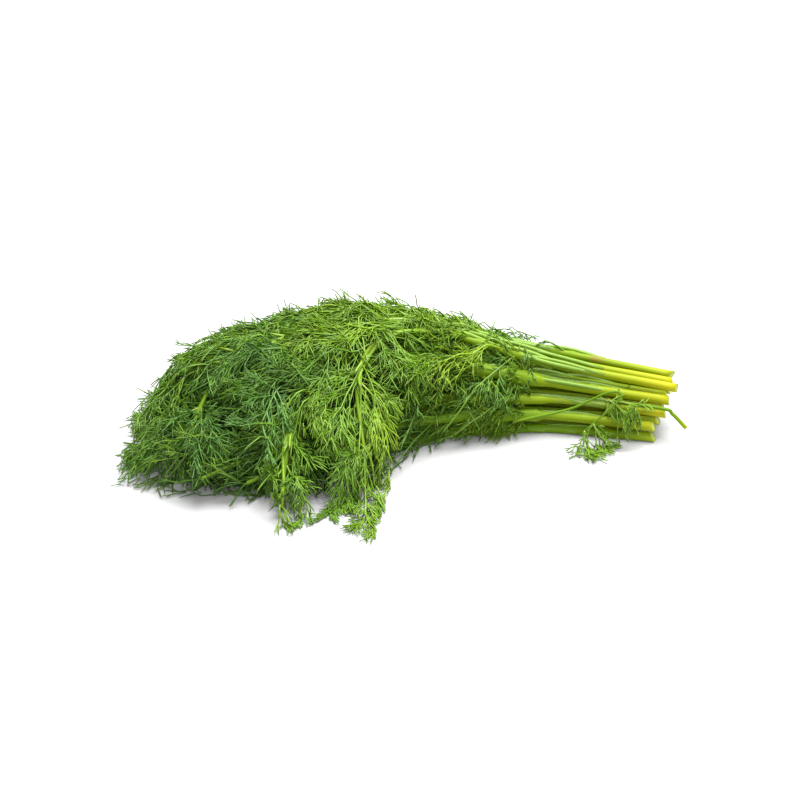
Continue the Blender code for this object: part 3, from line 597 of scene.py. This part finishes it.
def heap_surface(x, y):
    """The leaves' own surface over points of the table: the heap's outline, sunk a little and with lumps.

    The lumps are the mean of three crossing waves. Along each stretch of stalk that shows, it sinks to just
    under that stalk, by a share exp(-(d / DENT)^2) at the distance d.
    """
    further = np.interp(behind_middle(x, y), BUNDLE_FROM, SUNK_ON_STALKS)
    sunk = SUNK + np.interp(x, BUNDLE_FROM, (0, 1)) * further
    height = heap_top(x, y, sunk, LUMPS * waves(x, y, LUMP_WAVES) / 3)
    for start, end, _ in PARTED:
        run = end - start
        t = np.clip(((x - start[0]) * run[0] + (y - start[1]) * run[1]) / (run[0] ** 2 + run[1] ** 2), 0, 1)
        away = np.hypot(x - start[0] - t * run[0], y - start[1] - t * run[1])
        level = start[2] + t * run[2] - DENT_UNDER
        height = height - np.maximum(height - level, 0) * np.exp(-((away / DENT) ** 2))
    return height


def points_at(lines, shares):
    """Points and directions at shares (n, m) of n lines, straight between their stations."""
    spans = lines.shape[1] - 1
    at = np.clip(shares, 0, 0.9999) * spans
    i = at.astype(int)
    row = np.arange(len(lines))[:, None]
    a, b = lines[row, i], lines[row, i + 1]
    return a + (b - a) * (at - i)[..., None], unit(b - a)


def hanging(points):
    """The way a thread hangs that lies on the heap at each point: gravity less its part across the surface.

    With slopes a and b along X and Y and N^2 = 1 + a^2 + b^2, it is (-a, -b, -(a^2 + b^2)) / N^2, plus a
    little straight down for what hangs free.
    """
    x, y = points[..., 0], points[..., 1]
    here = heap_surface(x, y)
    a = (heap_surface(x + SLOPE_STEP, y) - here) / SLOPE_STEP
    b = (heap_surface(x, y + SLOPE_STEP) - here) / SLOPE_STEP
    size = 1 + a**2 + b**2
    return np.stack([-a / size, -b / size, 1 / size - 1 - FREE_FALL], axis=-1)


def branch(lines, facing, tint, order, size, rng):
    """One order of branching: pairs of side branches along every line, and each branch's own facing.

    A branch leaves its line at a point p with tangent T. It starts along d = cos(a) T + sin(a) S, where S
    leans from the side of the line's plane towards its face by a random angle, and runs
    p + L (t d + t^2 (f T + g h + c)) for t from 0 to 1: bent forward by f, by g the way it hangs on the
    heap there, and at random by c.
    """
    n, m = len(lines), order.pairs
    row = np.linspace(order.start, order.stop, m)
    step = (order.stop - order.start) / max(m - 1, 1)
    shares = np.clip(row + rng.uniform(-ROOT_STRAY, ROOT_STRAY, (n, m)) * step, *ROOT_RANGE)
    root, tangent = points_at(lines, shares)
    root, tangent = (np.repeat(v, 2, axis=1) for v in (root, tangent))
    shares = np.repeat(shares, 2, axis=1)
    sign = np.tile([1.0, -1.0], m)[None, :, None]
    side = unit(np.cross(facing[:, None], tangent))
    lean = rng.normal(0, order.wild, (n, 2 * m, 1))
    out = np.cos(lean) * sign * side + np.sin(lean) * facing[:, None]
    opening = np.interp(shares, (0, 1), order.open) * rng.uniform(*OPEN_VARIES, (n, 2 * m))
    way = np.cos(opening)[..., None] * tangent + np.sin(opening)[..., None] * out
    length = np.interp(shares, (0, 1), mm(order.length)) * rng.uniform(*LENGTH_VARIES, (n, 2 * m))
    length = length * size[:, None]
    t = np.sin(np.linspace(0, math.pi / 2, order.points))[None, None, :, None]
    bend = order.forward * tangent + order.sag * rng.uniform(*SAG_VARIES, (n, 2 * m, 1)) * hanging(root)
    bend = bend + order.curl * rng.normal(0, 1, (n, 2 * m, 3))
    grown = root[:, :, None] + length[..., None, None] * (t * way[:, :, None] + t**2 * bend[:, :, None])
    own = unit(facing[:, None] + rng.normal(0, FACING_STRAY, (n, 2 * m, 3)))
    tints = np.minimum(tint[:, None] + rng.normal(0, TINT_STRAY, (n, 2 * m)), TINT_MOST)
    flat = n * 2 * m
    return grown.reshape(flat, -1, 3), own.reshape(flat, 3), tints.reshape(flat), np.repeat(size, 2 * m)


def proud_at(x, y):
    """How far ribs may stand out of the heap's surface over points of the table, in three crossing waves."""
    return PROUD[0] + (PROUD[1] - PROUD[0]) * (0.5 + waves(x, y, PROUD_WAVES) / 6)


def laid_down(lines, rng):
    """Lays on the table what would reach under it, a little higher or lower at random."""
    floor = rng.uniform(*FLOOR_AIR, len(lines))[:, None]
    return np.stack([lines[..., 0], lines[..., 1], np.maximum(lines[..., 2], floor)], axis=-1)


def pressed_in(lines):
    """Presses in what would stand far out of the heap.

    Above the heap's surface s a height z becomes s + p (1 - exp((s - z) / p)), so it never passes s + p.
    """
    x, y, z = lines[..., 0], lines[..., 1], lines[..., 2]
    proud = proud_at(x, y)
    above = np.maximum(z - heap_surface(x, y), 0)
    return np.stack([x, y, z - above + proud * (1 - np.exp(-above / proud))], axis=-1)


def near_heap(lines, reach, rng):
    """Which lines end no further above the heap's surface than each one's own random limit, of mean reach."""
    tip = lines[:, -1]
    return tip[:, 2] - heap_surface(tip[:, 0], tip[:, 1]) < rng.exponential(reach, len(lines)) + FLOOR_AIR[1]


def not_too_deep(lines, rng):
    """Which lines are kept when those deep inside the heap are thinned out at random."""
    tip = lines[:, -1]
    deep = heap_surface(tip[:, 0], tip[:, 1]) - tip[:, 2] > DEEP
    return ~deep | (rng.uniform(0, 1, len(lines)) < DEEP_KEPT)


def parted(lines, stretches):
    """Which lines cover none of the stretches that show.

    A line covers a stretch where its middle or its tip stands outward of it, and less than the given
    distance beside it, measured in the plane across the outward way.
    """
    out = np.array(OUTWARD)
    clear = np.ones(len(lines), bool)
    for start, end, beside in stretches:
        flat_run = (end - start) - out * ((end - start) @ out)
        for station in (lines.shape[1] // 2, -1):
            away = lines[:, station] - start
            height = away @ out
            flat = away - height[:, None] * out
            t = np.clip(flat @ flat_run / (flat_run @ flat_run), 0, 1)
            level = t * ((end - start) @ out)
            near = np.linalg.norm(flat - t[:, None] * flat_run, axis=1) < beside
            clear &= ~(near & (height > level - COVER_SLACK))
    return clear


def within_edge(lines, shown, rng):
    """Which lines end inside the heap's edges; the listed ones have a front edge of their own.

    Few strays pass an edge: a line may by its own random number, squared, times the most that any may.
    """
    x, y = lines[:, -1, 0], lines[:, -1, 1]
    stray = rng.uniform(0, 1, len(lines)) ** 2
    inside = (y < BACK_EDGE + END_STRAY * stray) & (x > LEFT_EDGE - END_STRAY * stray)
    inside &= lines[:, -1, 2] < TOP_EDGE
    if shown:
        return inside & (y > np.interp(x, FAR_X, FAR_Y) - END_STRAY * stray)
    return inside & (y > np.interp(x, EDGE_X, EDGE_Y) - np.interp(x, EDGE_X, STRAY) * stray)


def wall_faces(rings, sides):
    """Triangles of a wall through rings of points, and of the fan from its last ring to the next point."""
    k = np.arange(sides)
    after = (k + 1) % sides
    faces = []
    for j in range(rings - 1):
        a, b, c, d = (j * sides + k, j * sides + after, (j + 1) * sides + after, (j + 1) * sides + k)
        faces += [np.stack([a, b, c], 1), np.stack([a, c, d], 1)]
    last = (rings - 1) * sides
    faces.append(np.stack([last + k, last + after, np.full(sides, rings * sides)], 1))
    return np.concatenate(faces)


def tubes(lines, radii, sides):
    """Closed slender cones along many lines at once: rings of sides points, an end fan and a foot fan.

    Ring j lies in the plane across the line's way there, at the angle 2 pi k / sides for its point k, and
    its radius runs evenly from radii[0] at the foot towards radii[1] at the tip, where one point ends it.
    Returns vertices, triangles, and for each vertex its share of the line's length.
    """
    n, stations = lines.shape[:2]
    rings = stations - 1
    way = unit(np.gradient(lines, axis=1))
    some = np.where(np.abs(way[..., 2:]) < 0.9, np.array([0, 0, 1.0]), np.array([1.0, 0, 0]))
    u = unit(np.cross(way, some))
    v = np.cross(way, u)
    share = np.arange(stations) / (stations - 1)
    radius = (radii[0] + (radii[1] - radii[0]) * share)[None, :, None, None]
    angle = 2 * math.pi * np.arange(sides) / sides
    spoke = np.cos(angle)[:, None] * u[:, :, None] + np.sin(angle)[:, None] * v[:, :, None]
    ring = lines[:, :, None] + radius * spoke
    verts = np.concatenate([ring[:, :rings].reshape(n, rings * sides, 3), lines[:, -1:]], axis=1)
    foot = np.arange(1, sides - 1)
    faces = np.concatenate([wall_faces(rings, sides), np.stack([np.zeros_like(foot), foot + 1, foot], 1)])
    per = rings * sides + 1
    faces = (faces[None] + np.arange(n)[:, None, None] * per).reshape(-1, 3)
    along_each = np.tile(np.concatenate([np.repeat(share[:rings], sides), [1.0]]), n)
    return verts.reshape(-1, 3), faces, along_each


class Heap:
    """The vertices, triangles and values of one stem's fronds, gathered before they become a mesh.

    Each vertex has its tint, its share of its own thread's length, the order of branching, and the painted
    shade that it takes for lying under the heap's surface.
    """

    def __init__(self):
        self.parts, self.count = [], 0

    def add(self, lines, radii, sides, tints, depth):
        """Adds a cone along each line, each with its own tint and all of one order."""
        verts, faces, share = tubes(lines, radii, sides)
        each = np.repeat(tints, len(verts) // len(lines))
        # painted shade: darker the further a point lies under the heap's surface, less so at both ends along
        # X, in place of the shadow inside the heap
        inside = heap_surface(verts[:, 0], verts[:, 1]) - verts[:, 2]
        inside = np.clip((inside - SHADED[0]) / (SHADED[1] - SHADED[0]), 0, 1)
        inside = inside * np.interp(verts[:, 0], SHADED_X, SHADED_PART)
        self.parts.append((verts, faces + self.count, each, share, np.full(len(verts), depth), inside))
        self.count += len(verts)

    def piece(self, name, material):
        verts, faces, tint, share, depth, inside = (
            np.concatenate([part[i] for part in self.parts]) for i in range(6)
        )
        # inside carries the painted shade
        values = {"tint": tint, "share": share, "order": depth, "inside": inside}
        return mesh_piece(name, verts - SHIFT, faces, material, values)


def mesh_piece(name, verts, faces, material, values):
    """A mesh object from whole arrays of points, triangles and per-point values."""
    mesh = bpy.data.meshes.new(name)
    mesh.vertices.add(len(verts))
    mesh.vertices.foreach_set("co", np.asarray(verts, np.float32).ravel())
    mesh.loops.add(faces.size)
    mesh.loops.foreach_set("vertex_index", faces.ravel().astype(np.int32))
    mesh.polygons.add(len(faces))
    mesh.polygons.foreach_set("loop_start", np.arange(0, faces.size, 3, dtype=np.int32))
    mesh.polygons.foreach_set("use_smooth", np.full(len(faces), True))
    for key, value in values.items():
        mesh.attributes.new(key, "FLOAT", "POINT").data.foreach_set("value", np.asarray(value, np.float32))
    mesh.update()
    mesh.validate()
    mesh.materials.append(material)
    piece = bpy.data.objects.new(name, mesh)
    bpy.context.scene.collection.objects.link(piece)
    return piece


def rib_line(frond):
    """The rib's smooth line: raised onto the heap if it is listed, if not cut at the front edge."""
    line = smooth_path(frond.line, RIB_STATIONS)
    if frond.shown:
        most = 0.0 if line[0, 0] > 0 or frond.form == "star" else RAISED
        under = np.clip(heap_surface(line[:, 0], line[:, 1]) - line[:, 2], 0, most)
        line[:, 2] += under * np.linspace(0, 1, len(line)) ** RAISED_POWER
        return line
    past = line[:, 1] < np.interp(line[:, 0], EDGE_X, EDGE_Y)
    return smooth_path(line[: max(int(np.argmax(past)), 3)], RIB_STATIONS) if past.any() else line


def grow_frond(heap, frond, rng):
    """A whole frond on its rib: rachis, pinnae, sprigs and threads, added to the stem's heap of pieces."""
    line = rib_line(frond)
    bearers, facing = line[None], frond_facing(line, rng)[None]
    tints, sizes = np.array([frond.tint]), np.array([frond.size])
    bearers = laid_down(pressed_in(bearers), rng)
    heap.add(bearers, RACHIS_RADII, RACHIS_SIDES, tints, 0.0 if frond.shown else PLAIN_RIB)
    if frond.petiole is not None:
        petiole = smooth_path(frond.petiole, PETIOLE_STATIONS)
        petiole[:, 2] = np.maximum(petiole[:, 2], PETIOLE_RADII[0])
        heap.add(petiole[None], PETIOLE_RADII, PETIOLE_SIDES, np.full(1, PETIOLE_TINT), PLAIN_RIB)
    star = frond.form == "star"
    for depth, order in enumerate(FORMS[frond.form]):
        bearers, facing, tints, sizes = branch(bearers, facing, tints, order, sizes, rng)
        if depth == 0 and not star:
            free = (bearers[:, -1, 0] < FREE_X)[:, None, None]
            bearers = np.where(free, bearers, pressed_in(bearers))
        bearers = laid_down(bearers, rng)
        kept = within_edge(bearers, frond.shown, rng)
        kept &= parted(bearers, PARTED if star else PARTED + (STAR,))
        if not star:
            kept &= near_heap(bearers, FREE_REACH if depth == 0 else REACH_OUT, rng)
        if depth > 0:
            kept &= not_too_deep(bearers, rng)
        bearers, facing, tints, sizes = bearers[kept], facing[kept], tints[kept], sizes[kept]
        if not len(bearers):
            return
        heap.add(bearers, order.radii, THREAD_SIDES, tints, depth + 1.0)


def frond_facing(line, rng):
    """The way a frond's upper face looks: out of the heap, square to its rib, turned a little at random."""
    middle = line[len(line) // 2]
    out = np.array([0.0, behind_middle(middle[0], middle[1]) / FACING_OUT, 1.0])
    out = out + rng.normal(0, FACING_STRAY, 3)
    way = unit(line[-1] - line[0])
    return unit(out - way * (out @ way))


def hides_what_shows(line):
    """Whether a rib would lie over one of the stretches of stalk that show, or over the star-shaped frond."""
    x, y = line[:, 0], line[:, 1]
    return any(((x > left) & (x < right) & (y < back)).any() for left, right, back in KEPT_CLEAR)


def plan_covers(stalks, rng):
    """The fronds that lie on the heap and hide the stalks, clear of the stalks that are to show."""
    covers = []
    for cover in COVERS:
        for owner in cover.stems:
            path, radii = stalks[owner].path, stalks[owner].radii
            for k in range(cover.each):
                for _ in range(COVER_TRIES):
                    share = cover.start + (cover.stop - cover.start) * (k + rng.uniform(0, 1)) / cover.each
                    base, tangent = leaving(path, share)
                    side = unit(np.cross(tangent, (0, 0, -1.0)))
                    opening = rng.uniform(*COVER_OPENING)
                    out = unit(rng.uniform(*cover.back) * side + np.array([0, 0, cover.up]))
                    heading = math.cos(opening) * tangent + math.sin(opening) * out
                    length = rng.uniform(*mm(cover.length))
                    line = frond_line(base, heading, length, rng.uniform(*cover.droop))
                    if not hides_what_shows(line):
                        break
                beside = PETIOLE_CLEAR + np.interp(share, (0, 1), radii[[0, -1]])
                foot = along(path, max(share - PETIOLE_RUN, 0))
                halfway = along(path, max(share - PETIOLE_RUN / 2, 0)) + out * beside
                petiole = np.array([foot, halfway, line[0], line[1]])
                covers.append(Frond(owner, share, line, form=cover.form, petiole=petiole))
    return covers


# ---------------- stalks
STALK_SIDES = 16
STALK_RINGS = 60
STALK_RIDGES = 9
RIDGE_RISE = 0.02  # share of the radius by which the ridges rise and sink
SLIMMER = ((0.5, 1.0), (1.0, 0.92))  # shares of a stalk, and how thick it is there beside the plan
NODE_SWELL = 0.22  # share by which a stalk is thicker where a frond leaves it
NODE_RUN = 0.010  # over this share of its length
GIRTH_VARIES = (0.88, 1.10)  # how far stalks differ from their thickness on the plan
CUT_RINGS = (0.25, 0.6, 0.93)  # shares of the radius at which the cut end has its rings
CUT_SLANT = (0.20, 0.75)  # slopes of the cut ends, least and most
CUT_TURN = 0.5  # radians above the front that they face, in the mean, and how far that spreads
CUT_TURN_SPREAD = 0.7
CUT_RAGGED = (-0.0010, 0.0040)  # how much further a stalk reaches than its cut on the plan
STALK_WANDER = 0.0006  # how far a stalk strays sideways from its path on the plan
LONG_STALK = 0.1  # the thin stem and the small leaf's stalk are shorter, and keep to the plan
BLEMISH = ("stem_24_stalk", 0.165, 0.012)  # the stalk with a brown mark, at which share of it, and how long
BLEMISH_DOWN = -0.2  # how far down its sides the mark reaches, as a sine
LEAF_GREEN = 0.25  # the small leaf's stalk is at its foot as green as a stalk is at this share


def stalk_piece(name, path, radii, joints, hue, material, rng):
    """A stalk: a round section with shallow ridges, carried along its path, with a slanting cut at its foot.

    The radius at angle q and share s is r(s) (1 + 0.02 cos(9 q)) (1 + swell at each joint). The cut end is
    a disc of three rings about the path's first point, and it slants: a point that lies at e from there
    moves along the stalk by k times the part of e that points the way the cut faces.
    """
    path = np.array(path)
    if path[0, 0] - path[-1, 0] > LONG_STALK:
        path[0] += unit(path[0] - path[1]) * rng.uniform(*CUT_RAGGED)
        path[1:-1, 1] += rng.normal(0, STALK_WANDER, len(path) - 2)
    line = smooth_path(path, STALK_RINGS)
    share = np.linspace(0, 1, STALK_RINGS)
    run = run_along(path)
    radius = np.interp(share * run[-1], run, radii)
    radius = radius * np.interp(share, *SLIMMER) * rng.uniform(*GIRTH_VARIES)
    for joint in joints:
        radius = radius * (1 + NODE_SWELL * np.exp(-(((share - joint) / NODE_RUN) ** 2)))
    way = unit(np.gradient(line, axis=0))
    u = unit(np.cross(way, np.array([0, 0, 1.0])))
    v = np.cross(u, way)
    angle = 2 * math.pi * np.arange(STALK_SIDES) / STALK_SIDES
    wave = 1 + RIDGE_RISE * np.cos(STALK_RIDGES * angle)
    spoke = (np.cos(angle) * wave)[:, None] * u[:, None] + (np.sin(angle) * wave)[:, None] * v[:, None]
    wall = line[:, None] + radius[:, None, None] * spoke
    turn = CUT_TURN + rng.normal(0, CUT_TURN_SPREAD)
    facing = np.array([0.0, -math.cos(turn), math.sin(turn)])
    slant = rng.uniform(*CUT_SLANT)
    cut = [line[0] + radius[0] * part * spoke[0] for part in CUT_RINGS]
    cut = [ring + way[0] * slant * ((ring - line[0]) @ facing)[:, None] for ring in cut]
    wall[0] += way[0] * slant * ((wall[0] - line[0]) @ facing)[:, None]
    verts = np.concatenate(cut + [wall.reshape(-1, 3), line[-1:] + way[-1] * radius[-1], line[:1]])
    verts[:, 2] = np.maximum(verts[:, 2], 0.0)
    total = len(CUT_RINGS) + STALK_RINGS
    k = np.arange(STALK_SIDES)
    hub = np.full(STALK_SIDES, total * STALK_SIDES + 1)
    faces = np.concatenate([
        wall_faces(total, STALK_SIDES)[:, [0, 2, 1]], np.stack([k, (k + 1) % STALK_SIDES, hub], 1),
    ])
    radial = np.append(np.repeat([*CUT_RINGS] + [1.0] * STALK_RINGS, STALK_SIDES), [1.0, 0.0])
    lengthwise = np.append(np.repeat([0.0] * len(CUT_RINGS) + [*share], STALK_SIDES), [1.0, 0.0])
    if name.startswith("stray_leaf"):
        lengthwise = LEAF_GREEN + (1 - LEAF_GREEN) * lengthwise
    around = np.append(np.tile(angle, total), [0.0, 0.0])
    marked, where, length = BLEMISH
    upper = np.sin(around) > BLEMISH_DOWN
    mark = (name == marked) * upper * np.exp(-(((lengthwise - where) / length) ** 2))
    values = {
        "cut": radial, "share": lengthwise, "around": around, "hue": np.full(len(verts), hue), "mark": mark,
    }
    return mesh_piece(name, verts - SHIFT, faces, material, values)


# ---------------- materials
class Finish:
    """A material with one Principled shader, and the nodes that make its colour."""

    def __init__(self, name, roughness, specular):
        self.material = bpy.data.materials.new(name)
        self.material.use_nodes = True
        self.nodes, self.links = self.material.node_tree.nodes, self.material.node_tree.links
        self.shader = self.nodes["Principled BSDF"]
        self.shader.inputs["Roughness"].default_value = roughness
        self.shader.inputs["Specular IOR Level"].default_value = specular

    def value(self, name):
        """The piece's own values of this name."""
        node = self.nodes.new("ShaderNodeAttribute")
        node.attribute_name = name
        return node.outputs["Fac"]

    def math(self, operation, source, number=0.0):
        node = self.nodes.new("ShaderNodeMath")
        node.operation = operation
        self.links.new(source, node.inputs[0])
        node.inputs[1].default_value = number
        return node.outputs["Value"]

    def ramp(self, source, *stops):
        """A colour for each value: stops of a place from 0 to 1 and red, green and blue, or one grey."""
        node = self.nodes.new("ShaderNodeValToRGB")
        self.links.new(source, node.inputs["Fac"])
        while len(node.color_ramp.elements) < len(stops):
            node.color_ramp.elements.new(0.5)
        for element, (place, *color) in zip(node.color_ramp.elements, stops):
            element.position = place
            element.color = (*(color if len(color) == 3 else color * 3), 1)
        return node.outputs["Color"]

    def mix(self, factor, a, b, blend="MIX"):
        node = self.nodes.new("ShaderNodeMix")
        node.data_type = "RGBA"
        node.blend_type = blend
        for socket, value in ((node.inputs[0], factor), (node.inputs[6], a), (node.inputs[7], b)):
            if isinstance(value, bpy.types.NodeSocket):
                self.links.new(value, socket)
            else:
                socket.default_value = value if isinstance(value, float) else (*value, 1)
        return node.outputs[2]


def frond_material():
    """Leaf green, blue-green to yellow-green by each thread's tint, paler on ribs, with painted shade under
    the heap's surface.
    """
    leaf = Finish("dill_frond", roughness=0.42, specular=0.42)
    base = leaf.ramp(
        leaf.value("tint"),
        (0.0, 0.080, 0.190, 0.026), (0.15, 0.062, 0.165, 0.020), (0.30, 0.075, 0.185, 0.009),
        (0.55, 0.125, 0.245, 0.007), (0.80, 0.215, 0.340, 0.009), (1.0, 0.520, 0.510, 0.120),
    )
    rib = leaf.ramp(leaf.value("order"), (0.0, 1), (0.5, 0))
    sheath = leaf.mix(1.0, rib, leaf.ramp(leaf.value("share"), (0.0, 0.7), (0.14, 0)), "MULTIPLY")
    paler = leaf.mix(rib, base, leaf.mix(0.12, base, (0.28, 0.36, 0.03)))
    outer = leaf.mix(sheath, paler, (0.42, 0.42, 0.10))
    # painted shade: leaves under the heap's surface are darkened towards this colour
    shade = leaf.ramp(leaf.value("inside"), (0.0, 1), (1.0, 0.46, 0.56, 0.36))
    leaf.links.new(leaf.mix(1.0, outer, shade, "MULTIPLY"), leaf.shader.inputs["Base Color"])
    return leaf.material


def stalk_material():
    """Yellow-green skin with fine lengthwise stripes, greener towards the leaves, and a pale pithy cut."""
    rod = Finish("dill_stalk", roughness=0.48, specular=0.14)
    green = rod.ramp(
        rod.value("share"),
        (0.0, 0.345, 0.350, 0.003), (0.10, 0.22, 0.28, 0.001),
        (0.32, 0.115, 0.21, 0.001), (0.8, 0.10, 0.19, 0.008),
    )
    own = rod.ramp(rod.value("hue"), (0.0, 0.62, 0.88, 0.8), (0.5, 0.95, 1.0, 1.0), (1.0, 1.25, 1.12, 1.0))
    skin = rod.mix(1.0, green, own, "MULTIPLY")
    stripe = rod.nodes.new("ShaderNodeMapRange")
    turns = rod.math("MULTIPLY", rod.value("around"), float(STALK_RIDGES))
    rod.links.new(rod.math("COSINE", turns), stripe.inputs["Value"])
    stripe.inputs["From Min"].default_value = -1.0
    stripe.inputs["To Min"].default_value = 0.0
    stripe.inputs["To Max"].default_value = 0.15
    striped = rod.mix(stripe.outputs["Result"], skin, (0.30, 0.36, 0.02))
    marked = rod.mix(rod.value("mark"), striped, (0.22, 0.15, 0.03))
    pith = rod.ramp(
        rod.value("cut"),
        (0.0, 0.55, 0.58, 0.16), (0.55, 0.48, 0.52, 0.09),
        (0.80, 0.34, 0.42, 0.03), (0.97, 0.26, 0.34, 0.008),
    )
    in_cut = rod.math("LESS_THAN", rod.value("cut"), 0.985)
    rod.links.new(rod.mix(in_cut, marked, pith), rod.shader.inputs["Base Color"])
    return rod.material


def floor_material():
    matt = Finish("pale_floor", roughness=0.7, specular=0.5)
    matt.shader.inputs["Base Color"].default_value = (0.45, 0.45, 0.46, 1)
    return matt.material


# ---------------- the scene
CAMERA_TARGET = (-0.0005, 0.0, 0.030)
CAMERA_AWAY = 0.9
CAMERA_HEIGHT = math.radians(30)  # above the table
CAMERA_LENS = 81.0
LIT = (0, 0, 0.02)  # where the lights are turned to


def put(name, data, place, target):
    """A camera or a light at a place, turned towards a target."""
    thing = bpy.data.objects.new(name, data)
    thing.location = place
    way = np.array(target) - np.array(thing.location)
    thing.rotation_euler = (math.atan2(math.hypot(way[0], way[1]), -way[2]), 0, math.atan2(-way[0], way[1]))
    bpy.context.scene.collection.objects.link(thing)
    return thing


def make_camera():
    """High above the table, square to the front, far enough for a natural long-lens view."""
    target = np.array(CAMERA_TARGET) - SHIFT
    data = bpy.data.cameras.new("camera")
    data.lens = CAMERA_LENS
    away = CAMERA_AWAY * np.array([0, -math.cos(CAMERA_HEIGHT), math.sin(CAMERA_HEIGHT)])
    bpy.context.scene.camera = put("camera", data, target + away, target)


def area_light(name, place, size, power, color):
    data = bpy.data.lights.new(name, "AREA")
    data.shape = "DISK"
    data.size = size
    data.energy = power
    data.color = color
    put(name, data, place, LIT)


def make_studio():
    bpy.context.scene.view_settings.view_transform = "Standard"
    world = bpy.data.worlds.new("studio")
    bpy.context.scene.world = world
    world.use_nodes = True
    world.node_tree.nodes["Background"].inputs["Color"].default_value = (1.0, 1.0, 1.0, 1)
    world.node_tree.nodes["Background"].inputs["Strength"].default_value = 0.28
    area_light("key", (0.25, 0.45, 1.9), 1.7, 122.0, (1.0, 1.0, 0.98))
    area_light("front", (0.3, -1.9, 1.5), 1.2, 30.0, (1.0, 1.0, 1.0))
    bpy.ops.mesh.primitive_plane_add(size=6.0, location=(0, 0, 0))
    floor = bpy.context.object
    floor.name = "floor"
    floor.data.materials.append(floor_material())


def main():
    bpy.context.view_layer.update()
    make_camera()
    make_studio()
    plan_rng = np.random.default_rng(SEED)
    stalks = plan_stalks(plan_rng)
    fronds = plan_fronds(stalks, plan_rng)
    rng = np.random.default_rng(SEED + 1)
    for frond in fronds:
        if not frond.shown:
            frond.tint = np.clip(rng.normal(TINT, TINT_SPREAD), *TINT_RANGE)
    for bearer, share, points, size, form, tint in EXTRA_FRONDS:
        line = np.array([along(stalks[bearer - 1].path, share), *mm(points)])
        fronds.append(Frond(bearer - 1, share, line, size, form, tint, shown=True))
    covers = plan_covers(stalks, rng)
    for frond in covers:
        warmer = np.interp(frond.line[0, 0], *COVER_WARMER)
        frond.tint = np.clip(rng.normal(COVER_TINT + warmer, TINT_SPREAD), *COVER_TINT_RANGE)
    fronds += covers
    green, skin = frond_material(), stalk_material()
    for owner, (name, _, path, radii) in enumerate(stalks):
        own = [frond for frond in fronds if frond.stem == owner]
        heap = Heap()
        for frond in own:
            grow_frond(heap, frond, rng)
        joints = [frond.share for frond in own]
        rod = stalk_piece(f"{name}_stalk", path, radii, joints, rng.uniform(0, 1), skin, rng)
        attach(rod, "root")
        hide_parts(name)
        if own:
            leaves = heap.piece(f"{name}_fronds", green)
            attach(leaves, "root")
            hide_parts(name)

    bpy.context.view_layer.update()


main()
